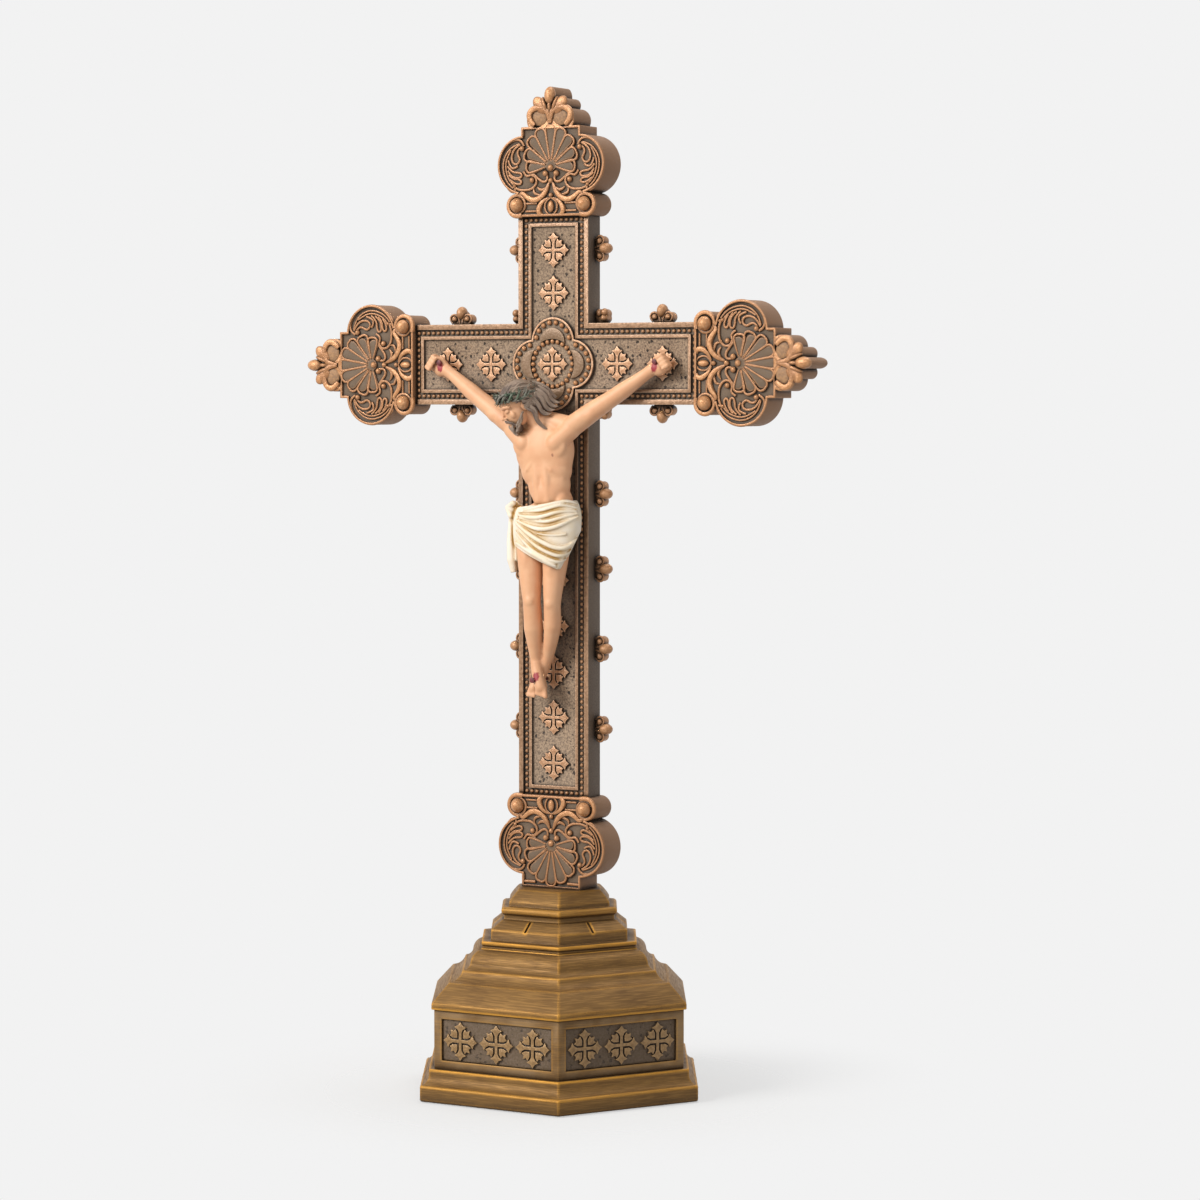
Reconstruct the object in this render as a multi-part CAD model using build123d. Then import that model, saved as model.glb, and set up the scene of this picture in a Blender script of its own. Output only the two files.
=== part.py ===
from build123d import *
import os
from math import cos, radians, sin

# Standing crucifix: a cast cross with shell terminals on a stepped hexagonal plinth.
# Millimetres, +Z up, the front looks along -Y, and the origin is the middle of the underside.

# Plinth: half sizes are measured across the flats of the hexagon
FELT_THICK = 1.0
FELT_PROUD = 0.4
FELT_INSET = 4.0
FOOT_HALF = 54.8
FOOT_NECK_HALF = 51.3
FOOT_BAND_HEIGHT = 6.5
FOOT_COVE_HEIGHT = 4.2
FOOT_FILLET_HEIGHT = 2.0
FOOT_EDGE = 0.9
DIE_HALF = 49.2
DIE_HEIGHT = 23.4
PANEL_WIDTH = 50.0
PANEL_HEIGHT = 16.4
PANEL_RECESS = 2.2
PANEL_THICK = 1.2
PANEL_FLORET_RADIUS = 7.7
PANEL_FLORET_PITCH = 16.5
CAP_LIP_HALF = 50.3
CAP_LIP_HEIGHT = 2.4
CAP_SLOPE_HALF = 43.5
CAP_SLOPE_HEIGHT = 7.7
CAP_COVE_HALF = 38.3
CAP_COVE_HEIGHT = 4.4
CAP_OGEE_HALF = 35.2
CAP_OGEE_HEIGHT = 2.5
CAP_OVOLO_HEIGHT = 5.3
CAP_RISER_HALF = 30.8
CAP_RISER_HEIGHT = 3.2
CAP_GROOVE_LOW = 0.6
CAP_GROOVE_HEIGHT = 1.1
CAP_GROOVE_DEPTH = 0.5
CAP_STEP_HALF = 27.1
CAP_STEP_HEIGHT = 4.2
CAP_WEATHER_HALF = 22.6
CAP_WEATHER_HEIGHT = 3.8
CAP_NECK_HALF = 21.9
CAP_NECK_HEIGHT = 2.0
CAP_TORUS_HEIGHT = 3.1
CAP_FILLET_HALF = 20.0
CAP_FILLET_HEIGHT = 1.6
CAP_CROWN_HEIGHT = 6.5
PLATFORM_HALF = 16.1
SLIT_WIDTH = 0.8
SLIT_DEPTH = 0.9

# Fastening inside the plinth
ROD_RADIUS = 3.0
ROD_IN_TERMINAL = 14.0
ROD_TAIL = 1.0
ROD_CLEARANCE = 0.3
NUT_ACROSS_HALF = 5.0
NUT_HEIGHT = 5.0
WASHER_RADIUS = 7.0
WASHER_THICK = 1.2
NUT_WELL_RADIUS = 9.0
REGISTER_RADIUS = 14.0
REGISTER_HEIGHT = 2.5
REGISTER_CLEARANCE = 0.2
TENON_WIDTH = 22.0
TENON_DEPTH = 9.0
TENON_HEIGHT = 5.0

# Cross
CROSS_THICK = 9.6
ARM_WIDTH = 32.2
UPRIGHT_BELOW = 172.0
UPRIGHT_ABOVE = 58.4
BEAM_REACH = 64.7
OUTER_RIM = 2.1
BEAD_CHANNEL = 2.6
CHANNEL_DEPTH = 1.2
INNER_RIM = 1.4
FIELD_DEPTH = 1.1
TONGUE_LENGTH = 8.0
TONGUE_WIDTH = 18.0
TONGUE_THICK = 5.0
SOCKET_CLEARANCE = 0.15

# Terminals: levels run outward from the joint with the cross
TERMINAL_THICK = 13.8
TERMINAL_LENGTH = 51.0
FOOT_TERMINAL_LENGTH = 37.0
SHOULDER_HALF = 13.5
SHOULDER_LEVEL = 35.4
LOBE_RADIUS = 11.6
LOBE_LEVEL = 20.4
LOBE_OFFSET = 12.8
VOLUTE_RADIUS = 4.6
VOLUTE_OFFSET = 15.5
VOLUTE_BALL = 2.9
HEART_RADIUS = 4.7
HEART_LEVEL = 37.9
HEART_OFFSET = 6.1
LEAF_RADIUS = 2.6
LEAF_LEVEL = 44.1
LEAF_OFFSET = 3.6
BUD_HALF = 2.2
BUD_LENGTH = 7.2
TERMINAL_RIM = 0.9
TERMINAL_SINK = 1.0
SHELL_LEVEL = 19.8
SHELL_RISE = 0.7
SHELL_TIP_RADIUS = 2.2
SHELL_REACH = 15.6

# Ornament on the cross
FLORET_RADIUS = 7.0
FLORET_RISE = 0.9
FLORET_HUB_RISE = 0.3
FLORET_PITCH = 18.3
FLORET_LOW = 13.0
FLORET_COUNT = 8
UPPER_FLORET_HIGH = 13.3
UPPER_FLORET_PITCH = 17.0
BEAM_FLORET_NEAR = 29.0
BEAM_FLORET_FAR = 49.4
MEDALLION_LOBE = 9.7
MEDALLION_OFFSET = 8.8
MEDALLION_THICK = 1.0
MEDALLION_RIM = 0.8
MEDALLION_RIM_RISE = 0.5
CABOCHON_RADIUS = 5.6
CABOCHON_RISE = 0.9
BEAD_RING_RADIUS = 10.0
CROCKET_REACH = 5.6
CROCKET_HALF = 5.0
CROCKET_BALL = 2.1
CROCKET_BUD = 1.9
CROCKET_THICK = 4.2
CROCKET_LEVELS = (27.0, 59.0, 90.8, 120.6, 217.6)
BEAM_CROCKET_PLACE = 46.2

# Figure: places and radii are shares of its height, worked from the middle of the shoulders.
# The hands set its level: their nails stand a little above the middle of the beam.
FIGURE_HEIGHT = 125.0
FIGURE_SPAN = 99.0
HAND_RISE = 0.75
NAIL_RADIUS = 0.7
NAIL_HEAD_RADIUS = 1.1
NAIL_HEAD_HEIGHT = 0.6
NAIL_BITE = 4.0

OVERRUN = 1.0

# Shares of an outline's own size, chosen by hand
ROUND_SHARE = 0.2071
COVE_SHARE = -0.16
OVOLO_SHARE = 0.17
TORUS_SHARE = 0.36
CROWN_SHARE = 0.04
ARM_OUTLINE_SHARES = ((0.08, 0.08), (0.08, 0.44), (0.16, 0.6), (0.35, 0.73), (0.15, 0.81), (0, 1))
LEAF_OUTLINE_SHARES = ((0.17, 0.17), (0.17, 0.44), (0.27, 0.64), (0.38, 0.52), (0.57, 0.57))
FLORET_HUB_SHARE = 0.3
SHELL_PETAL_SHARES = ((0, 1), (19, 1), (38, 0.93), (61, 0.78), (95, 0.66))
TORSO_SHARES = (
    (0.02, -0.01, 0.07, 0.055, 0.042),
    (-0.012, 0, 0.066, 0.098, 0.046),
    (-0.068, 0.004, 0.064, 0.108, 0.058),
    (-0.14, 0.008, 0.06, 0.092, 0.053),
    (-0.208, 0.016, 0.053, 0.073, 0.042),
    (-0.28, 0.014, 0.054, 0.096, 0.05),
    (-0.352, 0.012, 0.056, 0.09, 0.05),
)
CLOTH_SHARES = (
    (-0.235, 0.014, 0.052, 0.096, 0.052),
    (-0.275, 0.014, 0.056, 0.116, 0.062),
    (-0.34, 0.012, 0.06, 0.118, 0.068),
    (-0.4, 0.014, 0.064, 0.11, 0.068),
    (-0.47, 0.016, 0.072, 0.1, 0.062),
)
CLOTH_HEM_SHARES = ((-0.1, 0.066, -0.375), (0.108, 0.066, -0.465))
CLOTH_CORNER_SHARES = ((0.075, 0.066, -0.477), (0.117, 0.066, -0.373))
CLOTH_WAIST_SHARES = ((-0.096, 0.066, -0.264), (0.12, 0.066, -0.237))
CLOTH_TAIL_SHARES = (
    (-0.088, 0.056, -0.25, 0.014),
    (-0.106, 0.06, -0.268, 0.019),
    (-0.116, 0.056, -0.3, 0.013),
    (-0.12, 0.056, -0.37, 0.016),
    (-0.118, 0.056, -0.43, 0.017),
    (-0.112, 0.056, -0.47, 0.01),
)
NEAR_LEG_SHARES = (
    (-0.04, 0.056, -0.3, 0.05),
    (-0.038, 0.066, -0.43, 0.041),
    (-0.03, 0.084, -0.53, 0.03),
    (-0.028, 0.088, -0.57, 0.0285),
    (-0.034, 0.066, -0.635, 0.03),
    (-0.034, 0.05, -0.71, 0.022),
    (-0.03, 0.048, -0.765, 0.0165),
    (-0.026, 0.064, -0.81, 0.021),
    (-0.028, 0.07, -0.845, 0.023),
    (-0.03, 0.072, -0.872, 0.013),
)
FAR_LEG_SHARES = (
    (0.062, 0.056, -0.3, 0.05),
    (0.058, 0.066, -0.43, 0.041),
    (0.048, 0.082, -0.53, 0.03),
    (0.046, 0.086, -0.57, 0.0285),
    (0.034, 0.062, -0.635, 0.03),
    (0.016, 0.042, -0.71, 0.021),
    (0.004, 0.036, -0.765, 0.0165),
    (0.008, 0.044, -0.81, 0.019),
    (0.012, 0.05, -0.845, 0.021),
    (0.014, 0.054, -0.865, 0.012),
)
ARM_SHARES = (
    (0.1, 0.066, -0.02, 0.03),
    (0.28, 0.062, 0.018, 0.029),
    (0.45, 0.056, 0.055, 0.025),
    (0.61, 0.05, 0.09, 0.0215),
    (0.74, 0.042, 0.122, 0.0215),
    (0.9, 0.032, 0.162, 0.0145),
    (0.96, 0.028, 0.18, 0.0215),
    (1.0, 0.026, 0.198, 0.0235),
    (1.035, 0.024, 0.214, 0.013),
)
NECK_SHARES = ((0, 0.066, -0.01, 0.034), (-0.022, 0.086, 0.028, 0.028), (-0.046, 0.108, 0.06, 0.028))
HEAD_PLACE_SHARES = (-0.062, 0.116, 0.066)
HEAD_SHARES = (0.05, 0.058, 0.066)
HEAD_TURN = (22, -18, -38)
CROWN_LEVEL_SHARE = 0.022
CROWN_RING_SHARE = 0.0616
CROWN_TUBE_SHARE = 0.0096
JAW_SHARES = (0, -0.028, -0.036, 0.034, 0.036, 0.036)
NOSE_SHARES = (0, -0.058, -0.004, 0.009, 0.013, 0.02)
BEARD_SHARES = (0, -0.034, -0.06, 0.03, 0.032, 0.034)
HAIR_SHARES = (0, 0.016, 0.012, 0.057, 0.058, 0.066)
LOCK_SHARES = (0.04, 0.012, -0.052, 0.022, 0.03, 0.05)

# Levels that follow from the sizes above
foot_bottom = FELT_PROUD
foot_top = foot_bottom + FOOT_BAND_HEIGHT + FOOT_COVE_HEIGHT + FOOT_FILLET_HEIGHT
die_top = foot_top + DIE_HEIGHT
lip_top = die_top + CAP_LIP_HEIGHT
slope_top = lip_top + CAP_SLOPE_HEIGHT
cove_top = slope_top + CAP_COVE_HEIGHT
ogee_top = cove_top + CAP_OGEE_HEIGHT
ovolo_top = ogee_top + CAP_OVOLO_HEIGHT
groove_low = ovolo_top + CAP_GROOVE_LOW
groove_top = groove_low + CAP_GROOVE_HEIGHT
riser_top = ovolo_top + CAP_RISER_HEIGHT
step_top = riser_top + CAP_STEP_HEIGHT
weather_top = step_top + CAP_WEATHER_HEIGHT
neck_top = weather_top + CAP_NECK_HEIGHT
torus_top = neck_top + CAP_TORUS_HEIGHT
fillet_top = torus_top + CAP_FILLET_HEIGHT
platform = torus_top + CAP_CROWN_HEIGHT
low_joint = platform + FOOT_TERMINAL_LENGTH
crossing = low_joint + UPRIGHT_BELOW
high_joint = crossing + UPRIGHT_ABOVE
cross_front = -CROSS_THICK / 2
field_front = cross_front + FIELD_DEPTH
arm_half = ARM_WIDTH / 2
hand_share = ARM_SHARES[-2][2]
shoulders = crossing + HAND_RISE - hand_share * FIGURE_HEIGHT


def moulding_edges(points):
    """Edges through (half width, height, bulge share): the bulge is an arc's rise over its chord."""
    edges = []
    for (x0, z0, _), (x1, z1, bulge) in zip(points, points[1:]):
        start = Vector(x0, 0, z0)
        end = Vector(x1, 0, z1)
        if bulge:
            middle = (start + end) / 2 + Vector(z1 - z0, 0, x0 - x1) * bulge
            edges.append(ThreePointArc(start, middle, end))
        else:
            edges.append(Line(start, end))
    return edges


def hexagonal(points):
    """A mitred hexagonal moulding is what three straight mouldings have in common."""
    near = moulding_edges(points)
    far = [edge.mirror(Plane.YZ) for edge in near]
    reach = 2 * max(point[0] for point in points)
    strip = extrude(make_face(near + far), amount=reach, both=True)
    solid = strip
    for turn in (60, 120):
        solid = solid & strip.rotate(Axis.Z, turn)
    return solid.rotate(Axis.Z, 90)


def upright_cylinder(radius, low, high):
    """Cylinder on the vertical axis between two levels."""
    return Pos(0, 0, (low + high) / 2) * Cylinder(radius, high - low)


def block(x0, x1, y0, y1, z0, z1):
    """Box between two corners."""
    return Pos((x0 + x1) / 2, (y0 + y1) / 2, (z0 + z1) / 2) * Box(x1 - x0, y1 - y0, z1 - z0)


def raised(sketch, back, rise):
    """A front-facing outline drawn in (X, Z), standing forward from the plane Y = back."""
    seat = Plane(origin=(0, back, 0), x_dir=(1, 0, 0), z_dir=(0, -1, 0))
    return extrude(seat * sketch, amount=rise, dir=(0, -1, 0))


def floret_sketch(radius):
    """Four slender arms with barbed ends and four toothed leaves between them."""
    arms = []
    for turn in range(4):
        angle = radians(90 * turn)
        near = [Vector(x * radius, y * radius) for x, y in ARM_OUTLINE_SHARES]
        far = [Vector(-p.X, p.Y) for p in near[-2:0:-1]]
        for p in near + far:
            arms.append((p.X * cos(angle) - p.Y * sin(angle), p.X * sin(angle) + p.Y * cos(angle)))
    near = [(x * radius, y * radius) for x, y in LEAF_OUTLINE_SHARES]
    leaf_points = near + [(y, x) for x, y in near[-2:0:-1]]
    sketch = make_face(Polyline(*arms, close=True))
    leaf = make_face(Polyline(*leaf_points, close=True))
    for turn in range(4):
        sketch = sketch + Rot(0, 0, 90 * turn) * leaf
    return sketch


# Plinth foot, die and cap, clamped together by the tie rod
def make_foot():
    band_top = foot_bottom + FOOT_BAND_HEIGHT
    cove_end = band_top + FOOT_COVE_HEIGHT
    solid = hexagonal(
        [
            (0, foot_bottom, 0),
            (FOOT_HALF - FOOT_EDGE, foot_bottom, 0),
            (FOOT_HALF, foot_bottom + FOOT_EDGE, ROUND_SHARE),
            (FOOT_HALF, band_top - FOOT_EDGE, 0),
            (FOOT_HALF - FOOT_EDGE, band_top, ROUND_SHARE),
            (FOOT_NECK_HALF, cove_end, COVE_SHARE),
            (FOOT_NECK_HALF, foot_top, 0),
            (0, foot_top, 0),
        ]
    )
    solid += upright_cylinder(REGISTER_RADIUS, foot_top - OVERRUN, foot_top + REGISTER_HEIGHT)
    solid -= felt_blank(SOCKET_CLEARANCE, foot_bottom - OVERRUN, FELT_THICK)
    solid -= upright_cylinder(NUT_WELL_RADIUS, foot_bottom - OVERRUN, well_top)
    return solid - rod_bore()


def felt_blank(clearance, low, high):
    """Hexagon of the felt pad between two levels."""
    half = FOOT_HALF - FELT_INSET + clearance
    return hexagonal([(0, low, 0), (half, low, 0), (half, high, 0), (0, high, 0)])


def rod_bore():
    return upright_cylinder(ROD_RADIUS + ROD_CLEARANCE, foot_bottom - OVERRUN, platform + OVERRUN)


def make_die():
    solid = hexagonal([(0, foot_top, 0), (DIE_HALF, foot_top, 0), (DIE_HALF, die_top, 0), (0, die_top, 0)])
    solid += upright_cylinder(REGISTER_RADIUS, die_top - OVERRUN, die_top + REGISTER_HEIGHT)
    solid -= register_recess(foot_top)
    field = block(
        -PANEL_WIDTH / 2,
        PANEL_WIDTH / 2,
        -DIE_HALF - OVERRUN,
        PANEL_RECESS - DIE_HALF,
        panel_middle - PANEL_HEIGHT / 2,
        panel_middle + PANEL_HEIGHT / 2,
    )
    for turn in range(6):
        solid -= field.rotate(Axis.Z, 60 * turn)
    return solid - rod_bore()


def register_recess(level):
    """Recess that takes the register boss of the piece below."""
    radius = REGISTER_RADIUS + REGISTER_CLEARANCE
    return upright_cylinder(radius, level - OVERRUN, level + REGISTER_HEIGHT + REGISTER_CLEARANCE)


def make_panel():
    """Plaque of the front face, with three florets."""
    back = PANEL_RECESS - DIE_HALF
    plate = Rectangle(PANEL_WIDTH - 2 * SOCKET_CLEARANCE, PANEL_HEIGHT - 2 * SOCKET_CLEARANCE)
    solid = raised(Pos(0, panel_middle) * plate, back, PANEL_THICK)
    floret = floret_sketch(PANEL_FLORET_RADIUS)
    for place in (-1, 0, 1):
        flower = Pos(place * PANEL_FLORET_PITCH, panel_middle) * floret
        solid += raised(flower, back, PANEL_THICK + FLORET_RISE)
    return solid


def make_cap():
    solid = hexagonal(
        [
            (0, die_top, 0),
            (CAP_LIP_HALF, die_top, 0),
            (CAP_LIP_HALF, lip_top, 0),
            (CAP_SLOPE_HALF, slope_top, 0),
            (CAP_COVE_HALF, cove_top, COVE_SHARE),
            (CAP_OGEE_HALF, ogee_top, COVE_SHARE),
            (CAP_RISER_HALF, ovolo_top, OVOLO_SHARE),
            (CAP_RISER_HALF, groove_low, 0),
            (CAP_RISER_HALF - CAP_GROOVE_DEPTH, groove_low, 0),
            (CAP_RISER_HALF - CAP_GROOVE_DEPTH, groove_top, 0),
            (CAP_RISER_HALF, groove_top, 0),
            (CAP_RISER_HALF, riser_top, 0),
            (CAP_STEP_HALF, riser_top, 0),
            (CAP_STEP_HALF, step_top, 0),
            (CAP_WEATHER_HALF, weather_top, 0),
            (CAP_NECK_HALF, weather_top, 0),
            (CAP_NECK_HALF, neck_top, 0),
            (CAP_NECK_HALF, torus_top, TORUS_SHARE),
            (CAP_FILLET_HALF, torus_top, 0),
            (CAP_FILLET_HALF, fillet_top, 0),
            (PLATFORM_HALF, platform, CROWN_SHARE),
            (0, platform, 0),
        ]
    )
    middle_half = (CAP_STEP_HALF + CAP_WEATHER_HALF) / 2
    slit_run = CAP_STEP_HALF - CAP_WEATHER_HALF
    lean = Vector(0, -slit_run, -CAP_WEATHER_HEIGHT)
    outward = Vector(0, -CAP_WEATHER_HEIGHT, slit_run)
    slit_place = (0, -middle_half, (step_top + weather_top) / 2)
    slit_plane = Plane(origin=slit_place, x_dir=(1, 0, 0), z_dir=outward)
    slit = slit_plane * Box(SLIT_WIDTH, lean.length, 2 * SLIT_DEPTH)
    for turn in range(6):
        solid -= slit.rotate(Axis.Z, 60 * turn)
    solid -= register_recess(die_top)
    solid -= block(
        -TENON_WIDTH / 2 - SOCKET_CLEARANCE,
        TENON_WIDTH / 2 + SOCKET_CLEARANCE,
        -TENON_DEPTH / 2 - SOCKET_CLEARANCE,
        TENON_DEPTH / 2 + SOCKET_CLEARANCE,
        platform - TENON_HEIGHT - SOCKET_CLEARANCE,
        platform + OVERRUN,
    )
    return solid - rod_bore()


def make_nut():
    blank = RegularPolygon(NUT_ACROSS_HALF, 6, major_radius=False)
    nut = Pos(0, 0, nut_bottom) * extrude(blank, amount=NUT_HEIGHT)
    return nut - upright_cylinder(ROD_RADIUS, nut_bottom - OVERRUN, washer_bottom + OVERRUN)


def make_washer():
    ring = upright_cylinder(WASHER_RADIUS, washer_bottom, well_top)
    return ring - upright_cylinder(ROD_RADIUS + ROD_CLEARANCE, washer_bottom - OVERRUN, well_top + OVERRUN)


# Cross: every piece below is drawn from the front in (X, Z)
def cross_sketch(inset, end_inset):
    """Upright and beam together, drawn in along their sides and at their ends."""
    width = ARM_WIDTH - 2 * inset
    upright = Rectangle(width, UPRIGHT_BELOW + UPRIGHT_ABOVE - 2 * end_inset)
    beam = Rectangle(2 * BEAM_REACH - 2 * end_inset, width)
    return Pos(0, (low_joint + high_joint) / 2) * upright + Pos(0, crossing) * beam


def tongue_box(clearance):
    """Tongue at one end of the cross, pointing up from the level of the joint."""
    half = TONGUE_WIDTH / 2 + clearance
    depth = TONGUE_THICK / 2 + clearance
    return block(-half, half, -depth, depth, -OVERRUN, TONGUE_LENGTH + clearance)


END_TURNS = {"top": 0, "right": 90, "foot": 180, "left": 270}


def at_end(solid, name):
    """Carry a solid from the origin to one end of the cross, turned to point outward."""
    places = {
        "top": (0, 0, high_joint),
        "right": (BEAM_REACH, 0, crossing),
        "foot": (0, 0, low_joint),
        "left": (-BEAM_REACH, 0, crossing),
    }
    return Pos(*places[name]) * Rot(0, END_TURNS[name], 0) * solid


def make_cross():
    solid = raised(cross_sketch(0, 0), CROSS_THICK / 2, CROSS_THICK)
    border = BEAD_CHANNEL + INNER_RIM
    channel = cross_sketch(OUTER_RIM, -OVERRUN) - cross_sketch(OUTER_RIM + BEAD_CHANNEL, BEAD_CHANNEL)
    solid -= raised(channel, cross_front + CHANNEL_DEPTH, CHANNEL_DEPTH + OVERRUN)
    field = cross_sketch(OUTER_RIM + border, border)
    solid -= raised(field, field_front, FIELD_DEPTH + OVERRUN)
    for name in END_TURNS:
        solid += at_end(tongue_box(0), name)
    return solid


def terminal_blank(inset, name):
    """Outline of a terminal: shoulders, two round lobes, two volutes and, but at the foot, a crest."""
    foot = name == "foot"
    top = FOOT_TERMINAL_LENGTH if foot else SHOULDER_LEVEL
    sketch = Pos(0, top / 2) * Rectangle(2 * (SHOULDER_HALF - inset), top - 2 * inset)
    neck = LOBE_LEVEL - 2 * inset
    sketch += Pos(0, LOBE_LEVEL / 2) * Rectangle(2 * (VOLUTE_OFFSET - inset), neck)
    for side in (-1, 1):
        sketch += Pos(side * LOBE_OFFSET, LOBE_LEVEL) * Circle(LOBE_RADIUS - inset)
        sketch += Pos(side * VOLUTE_OFFSET, VOLUTE_RADIUS) * Circle(VOLUTE_RADIUS - inset)
    return sketch


def crest_blank():
    """Heart lobes, leaves and bud beyond the shoulders."""
    bud_middle = TERMINAL_LENGTH - BUD_LENGTH / 2
    sketch = Pos(0, bud_middle) * Ellipse(BUD_HALF, BUD_LENGTH / 2)
    spine_low = SHOULDER_LEVEL - OVERRUN
    sketch += Pos(0, (spine_low + bud_middle) / 2) * Rectangle(BUD_HALF, bud_middle - spine_low)
    for side in (-1, 1):
        sketch += Pos(side * HEART_OFFSET, HEART_LEVEL) * Circle(HEART_RADIUS)
        sketch += Pos(side * LEAF_OFFSET, LEAF_LEVEL) * Circle(LEAF_RADIUS)
        heart = [(side * HEART_OFFSET, spine_low), (side * HEART_OFFSET, HEART_LEVEL)]
        leaf = [(side * LEAF_OFFSET, LEAF_LEVEL), (0, LEAF_LEVEL)]
        sketch += make_face(Polyline((0, spine_low), *heart, *leaf, close=True))
    return sketch


def dome(radius, x, z, front):
    """Low round boss standing forward from the plane Y = front."""
    ball = Pos(x, front, z) * Sphere(radius)
    return ball & block(x - radius, x + radius, front - radius, front, z - radius, z + radius)


def shell_sketch():
    """Fan of petals round the root of the shell."""
    sketch = Circle(SHELL_TIP_RADIUS)
    for turn, reach_share in SHELL_PETAL_SHARES:
        reach = SHELL_REACH * reach_share - SHELL_TIP_RADIUS
        sides = [(0, 0), (-SHELL_TIP_RADIUS, reach), (SHELL_TIP_RADIUS, reach)]
        petal = make_face(Polyline(*sides, close=True)) + Pos(0, reach) * Circle(SHELL_TIP_RADIUS)
        for side in {turn, -turn}:
            sketch += Rot(0, 0, side) * petal
    return Pos(0, SHELL_LEVEL) * sketch


def make_terminal(name):
    front = -TERMINAL_THICK / 2
    ground = front + TERMINAL_SINK
    blank = terminal_blank(0, name)
    if name != "foot":
        blank += crest_blank()
    solid = raised(blank, TERMINAL_THICK / 2, TERMINAL_THICK)
    sunk = terminal_blank(TERMINAL_RIM, name)
    solid -= raised(sunk, ground, TERMINAL_SINK + OVERRUN)
    solid += raised(shell_sketch(), ground, SHELL_RISE)
    for side in (-1, 1):
        solid += dome(VOLUTE_BALL, side * VOLUTE_OFFSET, VOLUTE_RADIUS, ground)
        if name != "foot":
            eye = Pos(side * HEART_OFFSET, HEART_LEVEL) * Circle(HEART_RADIUS - 2 * TERMINAL_RIM)
            solid -= raised(eye, ground, TERMINAL_SINK + OVERRUN)
    solid -= tongue_box(SOCKET_CLEARANCE)
    if name == "foot":
        tenon_top = FOOT_TERMINAL_LENGTH + TENON_HEIGHT
        solid += block(
            -TENON_WIDTH / 2,
            TENON_WIDTH / 2,
            -TENON_DEPTH / 2,
            TENON_DEPTH / 2,
            FOOT_TERMINAL_LENGTH - OVERRUN,
            tenon_top,
        )
        solid -= upright_cylinder(ROD_RADIUS, FOOT_TERMINAL_LENGTH - ROD_IN_TERMINAL, tenon_top + OVERRUN)
    return at_end(solid, name)


def make_medallion():
    plate = Circle(MEDALLION_OFFSET)
    sunk = Circle(MEDALLION_OFFSET)
    stones = Sketch()
    centre_disc = Circle(BEAD_RING_RADIUS)
    for turn in range(4):
        place = Rot(0, 0, 90 * turn) * Pos(MEDALLION_OFFSET, 0)
        plate += place * Circle(MEDALLION_LOBE)
        sunk += place * Circle(MEDALLION_LOBE - MEDALLION_RIM)
        stones += place * Circle(CABOCHON_RADIUS)
    ring = plate - sunk
    at_crossing = Pos(0, crossing)
    solid = raised(at_crossing * plate, field_front, MEDALLION_THICK)
    solid += raised(at_crossing * ring, field_front, MEDALLION_THICK + MEDALLION_RIM_RISE)
    solid += raised(at_crossing * (stones - centre_disc), field_front, MEDALLION_THICK + CABOCHON_RISE)
    flower = floret_sketch(FLORET_RADIUS)
    return solid + raised(at_crossing * flower, field_front, MEDALLION_THICK + FLORET_RISE)


def make_florets(places, pins):
    """Applied florets at (x, z) places on the sunk field, bored where a nail goes through."""
    flower = floret_sketch(FLORET_RADIUS)
    hub = RegularPolygon(FLORET_HUB_SHARE * FLORET_RADIUS, 4, rotation=45)
    solids = []
    for x, z in places:
        floret = raised(Pos(x, z) * flower, field_front, FLORET_RISE)
        floret += raised(Pos(x, z) * hub, field_front, FLORET_HUB_RISE)
        for pin in pins:
            floret -= pin
        solids += floret.solids()
    return solids


def crocket_sketch():
    """Trefoil: two curled leaves and a bud, standing up from its seat."""
    ball_level = CROCKET_REACH - 2 * CROCKET_BUD + CROCKET_BUD / 2
    seat = Pos(0, ball_level / 2) * Rectangle(2 * (CROCKET_HALF - CROCKET_BALL), ball_level)
    sketch = seat + Pos(0, CROCKET_REACH - CROCKET_BUD) * Circle(CROCKET_BUD)
    for side in (-1, 1):
        curl = Pos(side * (CROCKET_HALF - CROCKET_BALL), CROCKET_BALL) * Circle(CROCKET_BALL)
        sketch += curl
    return sketch


def corner_sketch():
    """Quarter trefoil that fills an inner corner: its two sides lie on the upright and on the beam."""
    inner = CROCKET_REACH - CROCKET_BUD
    sketch = Pos(inner / 2, inner / 2) * Rectangle(inner, inner)
    for x, z in ((CROCKET_BUD, inner), (inner, CROCKET_BUD), (inner, inner)):
        sketch += Pos(x, z) * Circle(CROCKET_BUD)
    return sketch


def crocket(sketch):
    """Trefoil in the back half of the edge, flush with the back of the cross."""
    return raised(sketch, CROSS_THICK / 2, CROCKET_THICK)


def make_side_crockets(side):
    trefoil = crocket(crocket_sketch())
    return [
        Pos(side * arm_half, 0, low_joint + level) * Rot(0, side * 90, 0) * trefoil
        for level in CROCKET_LEVELS
    ]


def make_beam_crockets(side):
    trefoil = crocket(crocket_sketch())
    turn = 0 if side > 0 else 180
    return [
        Pos(end * BEAM_CROCKET_PLACE, 0, crossing + side * arm_half) * Rot(0, turn, 0) * trefoil
        for end in (-1, 1)
    ]


def make_corner_crockets():
    quarter = crocket(corner_sketch())
    solids = []
    for turn in range(4):
        corner = Pos(arm_half, 0, arm_half) * quarter
        solids.append(Pos(0, 0, crossing) * Rot(0, 90 * turn, 0) * corner)
    return solids


# Figure, drawn from shares of its height: across, forward of the cross, up from the shoulders
def figure_point(across, forward, up):
    return Vector(across * FIGURE_HEIGHT, cross_front - forward * FIGURE_HEIGHT, shoulders + up * FIGURE_HEIGHT)


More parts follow.
